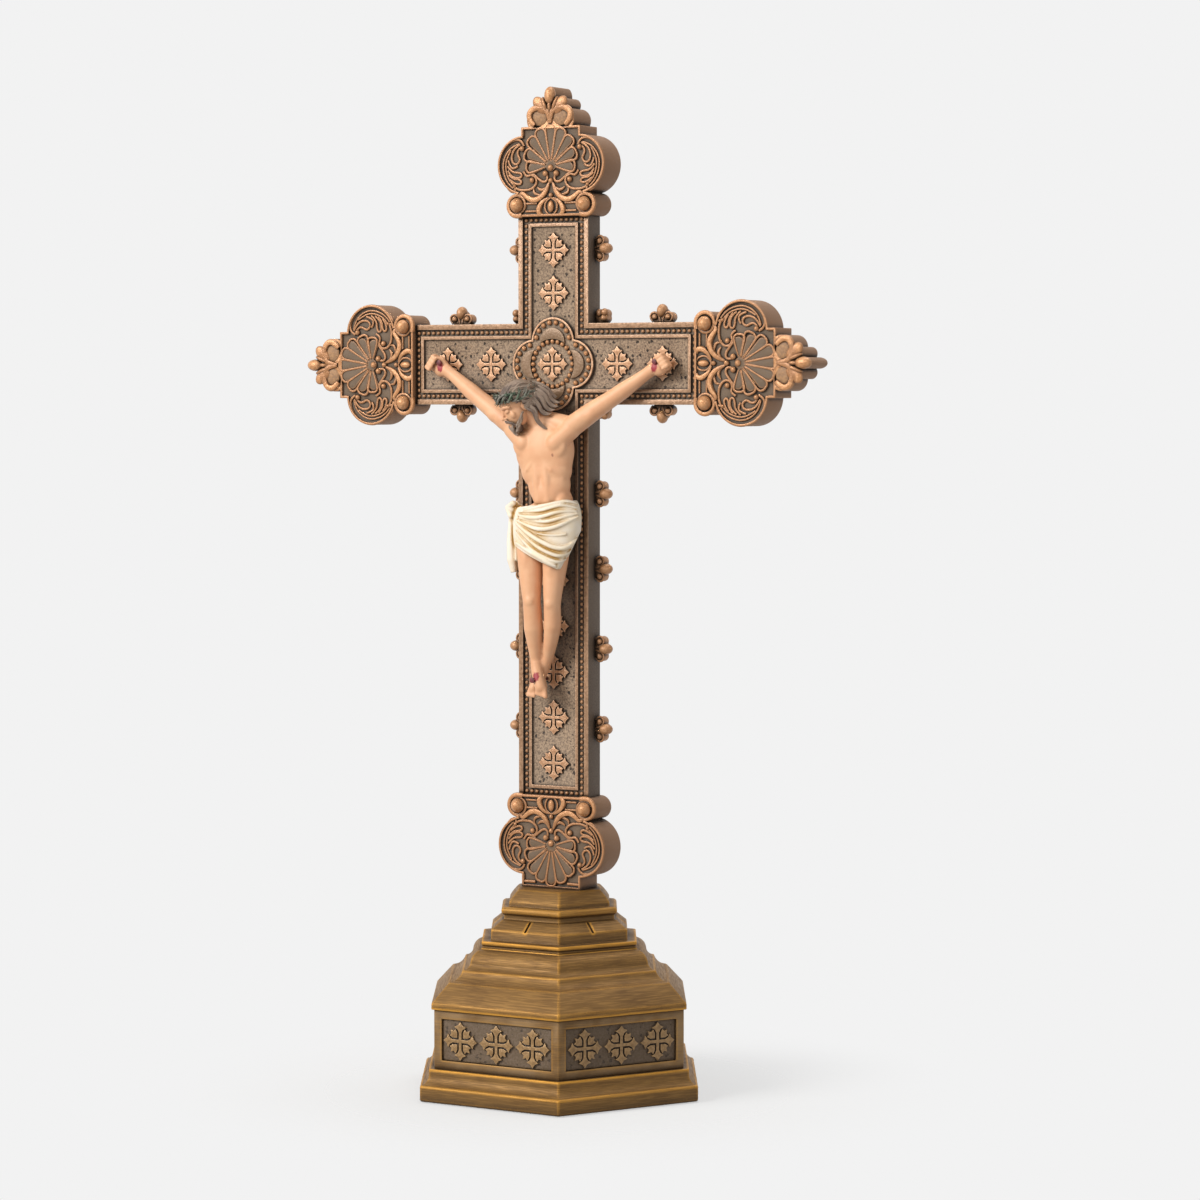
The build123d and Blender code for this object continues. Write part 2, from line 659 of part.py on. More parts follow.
def limb(points, radii, steady):
    """Loft through round sections square to the limb, with the seam kept on one side."""
    sections = []
    last = len(points) - 1
    for index, (point, radius) in enumerate(zip(points, radii)):
        run = points[min(index + 1, last)] - points[max(index - 1, 0)]
        sections.append(Plane(origin=point, x_dir=steady, z_dir=run) * Circle(radius))
    return loft(sections, ruled=True)


def trunk(shares):
    """Loft through level ovals."""
    sections = []
    for up, across, forward, half, depth in shares:
        place = Pos(*figure_point(across, forward, up))
        sections.append(place * Ellipse(half * FIGURE_HEIGHT, depth * FIGURE_HEIGHT))
    return loft(sections)


def behind_front():
    """Everything behind the front of the cross, to give the figure its flat seat."""
    reach = 2 * FIGURE_HEIGHT
    return block(-reach, reach, cross_front, reach, shoulders - reach, shoulders + reach)


def leg(shares):
    points = [figure_point(*row[:3]) for row in shares]
    return limb(points, [row[3] * FIGURE_HEIGHT for row in shares], Vector(1, 0, 0))


def make_corpus():
    neck_points = [figure_point(*row[:3]) for row in NECK_SHARES]
    neck = limb(neck_points, [row[3] * FIGURE_HEIGHT for row in NECK_SHARES], Vector(1, 0, 0))
    body = trunk(TORSO_SHARES) + neck + leg(NEAR_LEG_SHARES) + leg(FAR_LEG_SHARES)
    return body - behind_front()


def make_cloth(corpus):
    """Wrapped drapery with a slanting waist and hem, and the free end that hangs from its knot."""
    wrap = trunk(CLOTH_SHARES)
    cuts = ((CLOTH_HEM_SHARES, Keep.TOP), (CLOTH_CORNER_SHARES, Keep.TOP), (CLOTH_WAIST_SHARES, Keep.BOTTOM))
    for edge, kept in cuts:
        left, right = [figure_point(*place) for place in edge]
        run = right - left
        plane = Plane(origin=left, x_dir=run, z_dir=Vector(-run.Z, 0, run.X))
        wrap = split(wrap, bisect_by=plane, keep=kept)
    return wrap + leg(CLOTH_TAIL_SHARES) - behind_front() - corpus


def make_arm(side, corpus):
    """Arm and closed hand in one casting, let in at the shoulder."""
    points = []
    for reach, forward, up, _ in ARM_SHARES:
        level = figure_point(0, forward, up)
        points.append(Vector(side * reach * FIGURE_SPAN / 2, level.Y, level.Z))
    radii = [row[3] * FIGURE_HEIGHT for row in ARM_SHARES]
    return limb(points, radii, Vector(0, 1, 0)) - corpus


def egg(shares):
    """Ball stretched to a place and half sizes given as shares of the figure's height."""
    half_sizes = tuple(share * FIGURE_HEIGHT for share in shares[3:])
    place = tuple(share * FIGURE_HEIGHT for share in shares[:3])
    return Pos(*place) * scale(Sphere(1), by=half_sizes)


def head_frame():
    return Pos(*figure_point(*HEAD_PLACE_SHARES)) * Rot(*HEAD_TURN)


def make_head(corpus):
    """Head with hair and beard in one casting, its face plain and calm."""
    skull = egg((0, 0, 0, *HEAD_SHARES))
    head = skull + egg(JAW_SHARES) + egg(NOSE_SHARES) + egg(BEARD_SHARES) + egg(HAIR_SHARES)
    head += egg(LOCK_SHARES)
    return head_frame() * head - corpus


def make_crown(head):
    """Wreath seated on the hair above the brow."""
    ring = Torus(CROWN_RING_SHARE * FIGURE_HEIGHT, CROWN_TUBE_SHARE * FIGURE_HEIGHT)
    return head_frame() * Pos(0, 0, CROWN_LEVEL_SHARE * FIGURE_HEIGHT) * ring - head


def nail(point):
    """Pin along Y from the front of a hand or foot into the cross."""
    tip = cross_front + NAIL_BITE
    shank = Pos(point.X, (point.Y + tip) / 2, point.Z) * Rot(90, 0, 0) * Cylinder(NAIL_RADIUS, tip - point.Y)
    head = Pos(point.X, point.Y - NAIL_HEAD_HEIGHT / 2, point.Z) * Rot(90, 0, 0)
    return shank + head * Cylinder(NAIL_HEAD_RADIUS, NAIL_HEAD_HEIGHT)


def make_nails():
    reach, forward, up, radius = ARM_SHARES[-2]
    hand = figure_point(0, forward + radius, up)
    points = [Vector(side * reach * FIGURE_SPAN / 2, hand.Y, hand.Z) for side in (-1, 1)]
    across, forward, up, radius = NEAR_LEG_SHARES[-3]
    points.append(figure_point(across, forward + radius, up))
    return [nail(point) for point in points]


def save(name, shape):
    """Write one node, a single solid or a group of separate solids."""
    if isinstance(shape, list):
        shape = Compound(children=[Part(piece.wrapped) for piece in shape])
    export_step(shape, os.path.join("parts", name + ".step"))


panel_middle = foot_top + DIE_HEIGHT / 2
well_top = foot_top - FOOT_FILLET_HEIGHT - FOOT_EDGE
washer_bottom = well_top - WASHER_THICK
nut_bottom = washer_bottom - NUT_HEIGHT
rod_bottom = nut_bottom - ROD_TAIL
rod_top = platform + ROD_IN_TERMINAL

os.makedirs("parts", exist_ok=True)
save("felt_pad", felt_blank(0, 0, FELT_THICK))
save("plinth_foot", make_foot())
save("plinth_die", make_die())
panel = make_panel()
for face in range(6):
    save(f"plinth_panel_{face + 1}", panel.rotate(Axis.Z, 60 * face))
save("plinth_cap", make_cap())
save("tie_rod", upright_cylinder(ROD_RADIUS, rod_bottom, rod_top))
save("tie_washer", make_washer())
save("tie_nut", make_nut())

nails = make_nails()
cross = make_cross()
corpus = make_corpus()
for pin in nails:
    cross -= pin
save("cross_body", cross)
for end in END_TURNS:
    save(f"terminal_{end}", make_terminal(end))
save("medallion", make_medallion())
upright_places = [(0, low_joint + FLORET_LOW + FLORET_PITCH * step) for step in range(FLORET_COUNT)]
upright_places += [(0, high_joint - UPPER_FLORET_HIGH - UPPER_FLORET_PITCH * step) for step in (0, 1)]
save("upright_florets", make_florets(upright_places, nails))
beam_places = [(side * reach, crossing) for side in (-1, 1) for reach in (BEAM_FLORET_NEAR, BEAM_FLORET_FAR)]
save("beam_florets", make_florets(beam_places, nails))
save("crockets_left", make_side_crockets(-1))
save("crockets_right", make_side_crockets(1))
save("crockets_beam_top", make_beam_crockets(1))
save("crockets_beam_bottom", make_beam_crockets(-1))
save("corner_crockets", make_corner_crockets())

head = make_head(corpus)
arms = {"left": make_arm(1, corpus), "right": make_arm(-1, corpus)}
cloth = make_cloth(corpus)
crown = make_crown(head)
for pin in nails:
    corpus -= pin
save("corpus", corpus)
for side, arm in arms.items():
    for pin in nails:
        arm -= pin
    save(f"arm_{side}", arm - head)
save("loincloth", cloth)
save("head", head)
save("crown", crown)
save("nails", nails)
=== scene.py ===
# %% [markdown]
# # A standing crucifix with shell terminals
#
# The real object is a hand-painted casting: a bronze-coloured cross with raised ornament, a painted figure
# and a stepped hexagonal plinth. The solid model gives every piece its size and place. This script rounds
# the edges, adds the carving that a mould would give, paints the finishes and sets up a plain studio.

# %% Load the solid model
from math import cos, pi, radians, sin

import bmesh
import bpy
from mathutils import Matrix, Vector
from mathutils.bvhtree import BVHTree


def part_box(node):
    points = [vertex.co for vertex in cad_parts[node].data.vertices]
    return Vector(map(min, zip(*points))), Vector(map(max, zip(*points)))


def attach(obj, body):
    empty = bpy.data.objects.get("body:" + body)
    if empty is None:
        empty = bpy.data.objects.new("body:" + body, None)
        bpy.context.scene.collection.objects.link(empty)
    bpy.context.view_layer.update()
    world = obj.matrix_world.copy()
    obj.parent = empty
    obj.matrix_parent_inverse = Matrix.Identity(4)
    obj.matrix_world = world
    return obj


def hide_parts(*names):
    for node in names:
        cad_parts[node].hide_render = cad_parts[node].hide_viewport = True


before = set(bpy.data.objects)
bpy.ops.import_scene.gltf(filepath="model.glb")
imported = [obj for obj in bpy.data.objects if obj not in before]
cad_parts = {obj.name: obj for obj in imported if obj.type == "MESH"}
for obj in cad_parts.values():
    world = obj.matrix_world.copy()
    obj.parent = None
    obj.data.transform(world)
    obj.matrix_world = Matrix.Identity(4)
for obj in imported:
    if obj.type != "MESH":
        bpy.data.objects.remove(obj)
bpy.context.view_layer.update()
MM = 0.001
print("solid model:", len(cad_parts), "nodes")

# %% [markdown]
# ## Levels that all pieces share
#
# Millimetres suit a table-top object better than metres, so shapes are drawn in millimetres and scaled
# once, when they become objects. The levels come from the solid model's own boxes, so the ornament follows
# it.

# %% Read levels from the solid model


def node_box(node):
    """Lowest and highest corner of a node in millimetres."""
    low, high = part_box(node)
    return Vector(low) / MM, Vector(high) / MM


ARM_HALF = 16.1
FIELD_SINK = 1.1
TERMINAL_SINK = 1.0
top_low, top_high = node_box("terminal_top")
CROSSING = sum(corner.z for corner in node_box("medallion")) / 2
HIGH_JOINT = top_low.z
LOW_JOINT = node_box("terminal_foot")[1].z
BEAM_REACH = node_box("terminal_right")[0].x
CROSS_FRONT = node_box("cross_body")[0].y
FIELD_FRONT = CROSS_FRONT + FIELD_SINK
TERMINAL_FRONT = -top_high.y
TERMINAL_GROUND = TERMINAL_FRONT + TERMINAL_SINK
print("crossing at", round(CROSSING, 1), "beam ends at", round(BEAM_REACH, 1))

# %% [markdown]
# ## From bmesh to a piece of the object
#
# Each piece is a bmesh until it is finished. One helper scales it, makes it an object at the origin,
# smooths its shading up to a given angle, gives it its material and hides the solids it stands for.

# %% Helpers that make pieces


def show(name, data):
    """An object of the data, in the scene."""
    shown = bpy.data.objects.new(name, data)
    bpy.context.scene.collection.objects.link(shown)
    return shown


def make_piece(name, bm, material, stands_for=(), smooth_angle=40):
    """An object of the finished bmesh, with its material, finish and solids."""
    bmesh.ops.scale(bm, vec=(MM, MM, MM), verts=bm.verts)
    for face in bm.faces:
        face.smooth = True
    for edge in bm.edges:
        edge.smooth = len(edge.link_faces) == 2 and edge.calc_face_angle(0) < radians(smooth_angle)
    mesh = bpy.data.meshes.new(name)
    bm.to_mesh(mesh)
    bm.free()
    mesh.materials.append(material)
    piece = show(name, mesh)
    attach(piece, "root")
    if stands_for:
        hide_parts(*stands_for)
    print(name, len(mesh.polygons), "faces")


def solid_copy(*nodes):
    """Copies of solid-model nodes in one bmesh, in millimetres, with their loose triangles merged."""
    bm = bmesh.new()
    for node in nodes:
        bm.from_mesh(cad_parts[node].data)
    bmesh.ops.scale(bm, vec=(1 / MM, 1 / MM, 1 / MM), verts=bm.verts)
    bmesh.ops.remove_doubles(bm, verts=bm.verts, dist=0.002)
    return bm


def soften(bm, width, segments=2, least_angle=24):
    """Round every sharp edge, as a casting's edges are."""
    whole = [edge for edge in bm.edges if len(edge.link_faces) == 2]
    sharp = [edge for edge in whole if edge.calc_face_angle(0) > radians(least_angle)]
    bmesh.ops.bevel(
        bm, geom=sharp, offset=width, offset_type="OFFSET", segments=segments, profile=0.5, affect="EDGES",
        material=-1, clamp_overlap=False,
    )
    return bm


def cast(node, width, material, name=None, segments=2):
    """A copy of a solid with rounded edges, in the solid's place."""
    copy = soften(solid_copy(node), width, segments)
    make_piece(name or node + "_cast", copy, material, [node])


# %% [markdown]
# ## Finishes
#
# The maker sprays a dark bronze, wipes a black wash into the hollows and then rubs copper paint over
# whatever stands proud. Three node groups copy those steps. One finds edges and hollows from the shape
# itself, with short rays cast inward and outward, and with long ones the painted shade behind the figure
# and in the recesses of the plinth. One scatters the small pits of the stippled ground. One draws the
# level brush strokes of the plinth.

# %% Node helpers


def wire(tree, kind, settings=None, inputs=None):
    """A node with its settings, and its inputs set or linked."""
    made = tree.nodes.new("ShaderNode" + kind)
    for key, value in (settings or {}).items():
        setattr(made, key, value)
    for key, value in (inputs or {}).items():
        if isinstance(value, bpy.types.NodeSocket):
            tree.links.new(value, made.inputs[key])
        else:
            made.inputs[key].default_value = value
    return made


def calc(tree, operation, first, second=0.5, third=0.5, clamp=True):
    """Value of a math node."""
    settings = {"operation": operation, "use_clamp": clamp}
    return wire(tree, "Math", settings, {0: first, 1: second, 2: third}).outputs[0]


def vector(tree, operation, first, second=(0, 0, 0), output="Vector"):
    """Output of a vector node."""
    return wire(tree, "VectorMath", {"operation": operation}, {0: first, 1: second}).outputs[output]


def noise(tree, place, scale, detail=2.0, roughness=0.5, output="Fac"):
    """Noise at a place."""
    inputs = {"Vector": place, "Scale": scale, "Detail": detail, "Roughness": roughness}
    return wire(tree, "TexNoise", inputs=inputs).outputs[output]


def place_of(tree):
    """The object's own coordinates, in metres."""
    return wire(tree, "TexCoord").outputs["Object"]


def open_share(tree, reach, samples, **settings):
    """Share of the rays from a point that get as far as a reach."""
    settings["samples"] = samples
    return wire(tree, "AmbientOcclusion", settings, {"Distance": reach}).outputs["AO"]


def ramp(tree, value, low, high, start=0.0, end=1.0):
    """Smooth step of a value between two levels."""
    places = {"Value": value, "From Min": low, "From Max": high, "To Min": start, "To Max": end}
    return wire(tree, "MapRange", {"interpolation_type": "SMOOTHSTEP"}, places).outputs["Result"]


def blend(tree, share, under, over):
    """Paint one colour over another."""
    made = wire(tree, "Mix", {"data_type": "RGBA"}, {"Factor": share})
    for socket, colour in ((made.inputs[6], under), (made.inputs[7], over)):
        if isinstance(colour, bpy.types.NodeSocket):
            tree.links.new(colour, socket)
        else:
            socket.default_value = (*colour, 1)
    return made.outputs[2]


def new_group(name, inputs, outputs):
    """A node group with its sockets, and its incoming values."""
    tree = bpy.data.node_groups.new(name, "ShaderNodeTree")
    for label, start in inputs:
        socket = tree.interface.new_socket(label, in_out="INPUT", socket_type="NodeSocketFloat")
        socket.default_value = start
    for label in outputs:
        tree.interface.new_socket(label, in_out="OUTPUT", socket_type="NodeSocketFloat")
    return tree, tree.nodes.new("NodeGroupInput").outputs


def give(tree, values):
    """Link values to the group's outputs."""
    end = tree.nodes.new("NodeGroupOutput")
    for label, value in values.items():
        tree.links.new(value, end.inputs[label])
    print("node group:", tree.name)


# %% Edges, hollows and painted shade
RUB_MASKS = ["Edge", "Hollow", "Shade", "Grain"]
RUB_INPUTS = [("Edge", 0.8), ("Hollow", 1.4), ("Full", 0.66), ("Deep", 0.5)]
SHADE_REACH = 30 * MM
rub_tree, rub_in = new_group("rub_wash_and_shade", RUB_INPUTS, RUB_MASKS)
edge_reach = calc(rub_tree, "MULTIPLY", rub_in["Edge"], MM, clamp=False)
hollow_reach = calc(rub_tree, "MULTIPLY", rub_in["Hollow"], MM, clamp=False)
inward = open_share(rub_tree, edge_reach, 6, inside=True, only_local=True)
outward = open_share(rub_tree, hollow_reach, 6)
# long rays: painted shade behind the figure and in the recesses of the plinth
behind = open_share(rub_tree, SHADE_REACH, 8)
rub_values = {
    "Edge": ramp(rub_tree, inward, 0.98, rub_in["Full"]),
    "Hollow": ramp(rub_tree, outward, 0.92, rub_in["Deep"]),
    "Shade": ramp(rub_tree, behind, 0.8, 0.35),
    "Grain": noise(rub_tree, place_of(rub_tree), 900.0, 3.0),
}
give(rub_tree, rub_values)

# %% Pits of the stippled ground
PIT_JITTER = 0.0011
pit_tree, pit_in = new_group("stipple_pits", [("Cells", 420.0), ("Kept", 0.42)], ["Pit", "Stipple"])
pit_place = place_of(pit_tree)
pit_warp = noise(pit_tree, pit_place, 1500.0, 1.0, output="Color")
pit_jitter = vector(pit_tree, "MULTIPLY", pit_warp, (PIT_JITTER, PIT_JITTER, PIT_JITTER))
pit_spot = vector(pit_tree, "ADD", pit_place, pit_jitter)
pit_cell = wire(pit_tree, "TexVoronoi", inputs={"Vector": pit_spot, "Scale": pit_in["Cells"]})
pit_lot = wire(pit_tree, "SeparateColor", inputs={"Color": pit_cell.outputs["Color"]})
pit_keep = calc(pit_tree, "LESS_THAN", pit_lot.outputs["Red"], pit_in["Kept"])
pit_size = ramp(pit_tree, pit_lot.outputs["Blue"], 0.0, 1.0, 0.12, 0.42)
pit_edge = calc(pit_tree, "SUBTRACT", pit_cell.outputs["Distance"], pit_size, clamp=False)
pit_round = ramp(pit_tree, pit_edge, 0.03, -0.1)
pit_values = {
    "Pit": calc(pit_tree, "MULTIPLY", pit_round, pit_keep),
    "Stipple": noise(pit_tree, pit_place, 1300.0, 4.0, 0.7),
}
give(pit_tree, pit_values)

# %% Brush strokes of the plinth
LEVEL_STROKES = (1.0, 1.0, 34.0)
stroke_tree, stroke_in = new_group("brush_strokes", [("Fineness", 115.0)], ["Stroke", "Patch"])
stroke_place = place_of(stroke_tree)
stroke_flat = vector(stroke_tree, "MULTIPLY", stroke_place, LEVEL_STROKES)
stroke_values = {
    "Stroke": noise(stroke_tree, stroke_flat, stroke_in["Fineness"], 4.0),
    "Patch": noise(stroke_tree, stroke_place, 60.0, 4.0),
}
give(stroke_tree, stroke_values)

# %% [markdown]
# ## Bronze of the cross
#
# Whatever lies at the level of the raised ornament and looks forward is rubbed with copper. The level is
# read from Object coordinates, which are metres in the object's own frame, so the mask doesn't move with
# the camera.

# %% Cast bronze materials


def place_group(tree, group, values):
    """A node group with its inputs set, as a table of its outputs."""
    made = tree.nodes.new("ShaderNodeGroup")
    made.node_tree = group
    for key, value in values.items():
        made.inputs[key].default_value = value
    return made.outputs


def new_material(name, roughness, metallic=0.0):
    """A material, its node tree and its shader."""
    material = bpy.data.materials.new(name)
    material.use_nodes = True
    shader = material.node_tree.nodes["Principled BSDF"]
    shader.inputs["Roughness"].default_value = roughness
    shader.inputs["Metallic"].default_value = metallic
    return material, material.node_tree, shader


def bump(tree, shader, height, depth, strength=0.6):
    """Relief from a height, with its depth in millimetres."""
    made = wire(tree, "Bump", inputs={"Height": height, "Distance": depth * MM, "Strength": strength})
    tree.links.new(made.outputs["Normal"], shader.inputs["Normal"])


def paint_over(material, share, colour):
    """Another colour over part of a finished material."""
    tree = material.node_tree
    base = tree.nodes["Principled BSDF"].inputs["Base Color"]
    tree.links.new(blend(tree, share, base.links[0].from_socket, colour), base)


# each copper has a dark, a middle and a rubbed tone
COPPER = ((0.55, 0.25, 0.098), (0.76, 0.395, 0.18), (0.38, 0.175, 0.072))
PALE_COPPER = ((0.33, 0.185, 0.10), (0.50, 0.295, 0.17), (0.57, 0.36, 0.225))
FLORET_COPPER = ((0.46, 0.235, 0.115), (0.60, 0.345, 0.195), (0.74, 0.45, 0.27))
GROUND = (0.43, 0.30, 0.195)
DARK_GROUND = (0.17, 0.115, 0.075)
CARVED_GROUND = (0.18, 0.118, 0.068)
GREY_WALL = (0.105, 0.074, 0.052)
WARM_WALL = (0.335, 0.178, 0.092)
STONE_GROUND = (0.34, 0.2, 0.095)
# dark colour of the wash in hollows and pits, and of the painted shade
WASH_AND_SHADE = (0.028, 0.017, 0.010)
# levels that all or none of the object reaches
ALWAYS, NEVER = (-40.0, -30.0), (90.0, 91.0)


def copper_level(tree, low, high, all_round):
    """Masks of raised copper and of walls, for levels in millimetres forward, or outward all round."""
    place = place_of(tree)
    normal = wire(tree, "NewGeometry").outputs["True Normal"]
    forward = wire(tree, "SeparateXYZ", inputs={0: normal}).outputs["Y"]
    if all_round:
        level = vector(tree, "DOT_PRODUCT", place, normal, "Value")
        return ramp(tree, level, low * MM, high * MM), ramp(tree, forward, 2.0, 3.0)
    depth = wire(tree, "SeparateXYZ", inputs={0: place}).outputs["Y"]
    reached = ramp(tree, depth, -low * MM, -high * MM)
    raised = calc(tree, "MULTIPLY", reached, ramp(tree, forward, -0.35, -0.85))
    return raised, ramp(tree, forward, -0.9, -0.4)


def bronze(
    name, low, high, copper=COPPER, ground=GROUND, wall=GREY_WALL, pits=0.0, edge=0.8, hollow=1.4, deep=0.5,
    least_rub=0.0, all_round=False, shade=0.0,
):
    """Stippled ground and darker walls, a dark wash in the hollows, and copper on what stands proud."""
    material, tree, shader = new_material(name, 0.5)
    shader.inputs["Specular IOR Level"].default_value = 0.45
    masks = place_group(tree, rub_tree, {"Edge": edge, "Hollow": hollow, "Deep": deep})
    spots = place_group(tree, pit_tree, {"Cells": 560.0, "Kept": 0.6})
    raised, walls = copper_level(tree, low, high, all_round)
    worn = calc(tree, "MULTIPLY", masks["Edge"], ramp(tree, masks["Grain"], 0.3, 0.6, 0.45, 0.95))
    rubbed = calc(tree, "MAXIMUM", calc(tree, "MAXIMUM", raised, worn), least_rub)
    mottled = blend(tree, ramp(tree, spots["Stipple"], 0.36, 0.62), DARK_GROUND, ground)
    walled = blend(tree, calc(tree, "MULTIPLY", walls, 0.85), mottled, wall)
    pit = calc(tree, "MULTIPLY", spots["Pit"], ramp(tree, walls, 0.1, 0.0, 0.0, pits))
    pitted = blend(tree, pit, walled, WASH_AND_SHADE)
    dark, middle, light = copper
    flat_copper = blend(tree, ramp(tree, masks["Grain"], 0.35, 0.7), dark, middle)
    worn_copper = blend(tree, worn, flat_copper, light)
    painted = blend(tree, rubbed, pitted, worn_copper)
    washed = blend(tree, calc(tree, "MULTIPLY", masks["Hollow"], 0.95), painted, WASH_AND_SHADE)
    # painted shade where long rays are blocked, as behind the figure
    shaded = blend(tree, calc(tree, "MULTIPLY", masks["Shade"], shade), washed, WASH_AND_SHADE)
    tree.links.new(shaded, shader.inputs["Base Color"])
    tree.links.new(ramp(tree, rubbed, 0.0, 1.0, 0.62, 0.31), shader.inputs["Roughness"])
    tree.links.new(ramp(tree, rubbed, 0.0, 1.0, 0.0, 0.2), shader.inputs["Metallic"])
    relief = calc(tree, "SUBTRACT", spots["Stipple"], pit, clamp=False)
    bump(tree, shader, relief, 0.3, 0.6)
    return material


cross_bronze = bronze(
    "cross_bronze", -CROSS_FRONT - 0.5, -CROSS_FRONT - 0.15, PALE_COPPER, pits=1.0, edge=0.5, shade=0.75
)
terminal_bronze = bronze(
    "terminal_bronze", -TERMINAL_FRONT - 0.2, -TERMINAL_FRONT - 0.05, ground=CARVED_GROUND, wall=WARM_WALL,
    hollow=2.2, deep=0.62,
)
stone_bronze = bronze("stone_bronze", *NEVER, ground=STONE_GROUND, edge=0.4, hollow=2.0, least_rub=0.3)
floret_bronze = bronze(
    "floret_bronze", 0.35 - FIELD_FRONT, 0.7 - FIELD_FRONT, FLORET_COPPER, edge=0.5, hollow=1.0
)
medallion_bronze = bronze(
    "medallion_bronze", 1.2 - FIELD_FRONT, 1.4 - FIELD_FRONT, FLORET_COPPER, edge=0.5, hollow=1.2
)
relief_bronze = bronze(
    "relief_bronze", *ALWAYS, wall=WARM_WALL, edge=1.1, hollow=1.2, deep=0.6, least_rub=0.8
)
bead_bronze = bronze("bead_bronze", *NEVER, wall=WARM_WALL, edge=0.6, hollow=1.0, least_rub=0.65)
crocket_bronze = bronze(
    "crocket_bronze", *NEVER, wall=WARM_WALL, edge=1.6, hollow=2.4, deep=0.6, least_rub=0.75
)

# dull crescents of the medallion, outside its ring of beads
CRESCENT_RISE, CRESCENT_REACH = (1.6, 1.75), (9, 9.5)
tree = medallion_bronze.node_tree
place = place_of(tree)
flat = vector(tree, "MULTIPLY", place, (1, 0, 1))
away = vector(tree, "DISTANCE", flat, (0, 0, CROSSING * MM), "Value")
depth = wire(tree, "SeparateXYZ", inputs={0: place}).outputs["Y"]
proud = ramp(tree, depth, *[(FIELD_FRONT - rise) * MM for rise in CRESCENT_RISE])
outer = ramp(tree, away, *[reach * MM for reach in CRESCENT_REACH], 0.0, 0.8)
paint_over(medallion_bronze, calc(tree, "MULTIPLY", proud, outer), CARVED_GROUND)
print("bronze materials made")

# %% [markdown]
# ## Gilt bronze of the plinth
#
# The plinth is browner than the cross. Its flat faces show level brush strokes of gold over brown, and
# every edge is rubbed with bright ochre gold, where a hand holds and polishes it.

# %% Plinth materials
OLIVE = (0.205, 0.108, 0.031)
UMBER = (0.145, 0.073, 0.021)
GREY_BRONZE = (0.30, 0.195, 0.10)
GOLD = (0.66, 0.32, 0.046)
OCHRE = (0.40, 0.215, 0.056)


def gilt(name, ground, edge=1.25, full=0.86, gold_share=1.0, stroke_share=0.4):
    """Brushed ground, gold on its edges and a dark wash in its hollows."""
    material, tree, shader = new_material(name, 0.48, 0.35)
    shader.inputs["Specular IOR Level"].default_value = 0.3
    masks = place_group(tree, rub_tree, {"Edge": edge, "Hollow": 4.6, "Full": full, "Deep": 0.6})
    brush = place_group(tree, stroke_tree, {})
    patchy = blend(tree, ramp(tree, brush["Patch"], 0.25, 0.65), UMBER, ground)
    streak = calc(tree, "MULTIPLY", ramp(tree, brush["Stroke"], 0.45, 0.62), stroke_share)
    brushed = blend(tree, streak, patchy, OCHRE)
    rough_edge = ramp(tree, brush["Stroke"], 0.3, 0.55, 0.6 * gold_share, gold_share)
    gilded = blend(tree, calc(tree, "MULTIPLY", masks["Edge"], rough_edge), brushed, GOLD)
    washed = blend(tree, calc(tree, "MULTIPLY", masks["Hollow"], 0.8), gilded, WASH_AND_SHADE)
    # painted shade in the recesses of the plinth and where the floor is near
    shaded = blend(tree, calc(tree, "MULTIPLY", masks["Shade"], 0.3), washed, WASH_AND_SHADE)
    tree.links.new(shaded, shader.inputs["Base Color"])
    tree.links.new(ramp(tree, brush["Stroke"], 0.3, 0.7, 0.62, 0.46), shader.inputs["Roughness"])
    bump(tree, shader, brush["Stroke"], 0.15, 0.35)
    return material


plinth_gilt = gilt("plinth_gilt", OLIVE)
die_gilt = gilt("die_gilt", GREY_BRONZE, edge=1.0, full=0.7, gold_share=0.4, stroke_share=0.3)
panel_low = -node_box("plinth_panel_1")[0].y
PANEL_GROUND = (0.125, 0.083, 0.045)
PANEL_COPPER = ((0.27, 0.155, 0.06), (0.40, 0.24, 0.10), (0.50, 0.31, 0.14))
panel_bronze = bronze(
    "panel_bronze", panel_low - 0.55, panel_low - 0.2, PANEL_COPPER, PANEL_GROUND, pits=0.7, edge=0.5,
    hollow=1.0, all_round=True,
)
print("plinth materials made")

# %% [markdown]
# ## Plinth
#
# The mouldings of the solid model are exact, but their edges are knife-sharp, and a casting's never are. A
# copy of each solid has its sharp edges bevelled, which also gives the gold rub a real edge to follow.

# %% Plinth pieces
for node, width, finish in (
    ("plinth_foot", 0.45, plinth_gilt), ("plinth_cap", 0.4, plinth_gilt), ("plinth_die", 0.35, die_gilt)
):
    cast(node, width, finish)
for face in range(1, 7):
    cast(f"plinth_panel_{face}", 0.14, panel_bronze, f"plaque_{face}")

# %% [markdown]
# ## Cross, florets and medallion
#
# The cross has flat rims and a sunk ground, which the solid model already has, so rounding their edges is
# enough. A finer bevel keeps the points of the florets crisp.

# %% Cross pieces
cast("cross_body", 0.25, cross_bronze, name="cross_cast")
for node in ("upright_florets", "beam_florets"):
    cast(node, 0.09, floret_bronze)
cast("medallion", 0.12, medallion_bronze)

# %% [markdown]
# ## Beads
#
# A row of small beads runs round the cross in its channel, and larger ones ring the medallion. Each is a
# small ball with few faces, because there are hundreds. They are counted off along straight runs between
# the corners of the channel, so that every run has whole beads.

# %% Helpers for balls and runs


def pour(source, target):
    """Add one bmesh to another, and free it."""
    mesh = bpy.data.meshes.new("poured")
    source.to_mesh(mesh)
    source.free()
    target.from_mesh(mesh)
    bpy.data.meshes.remove(mesh)


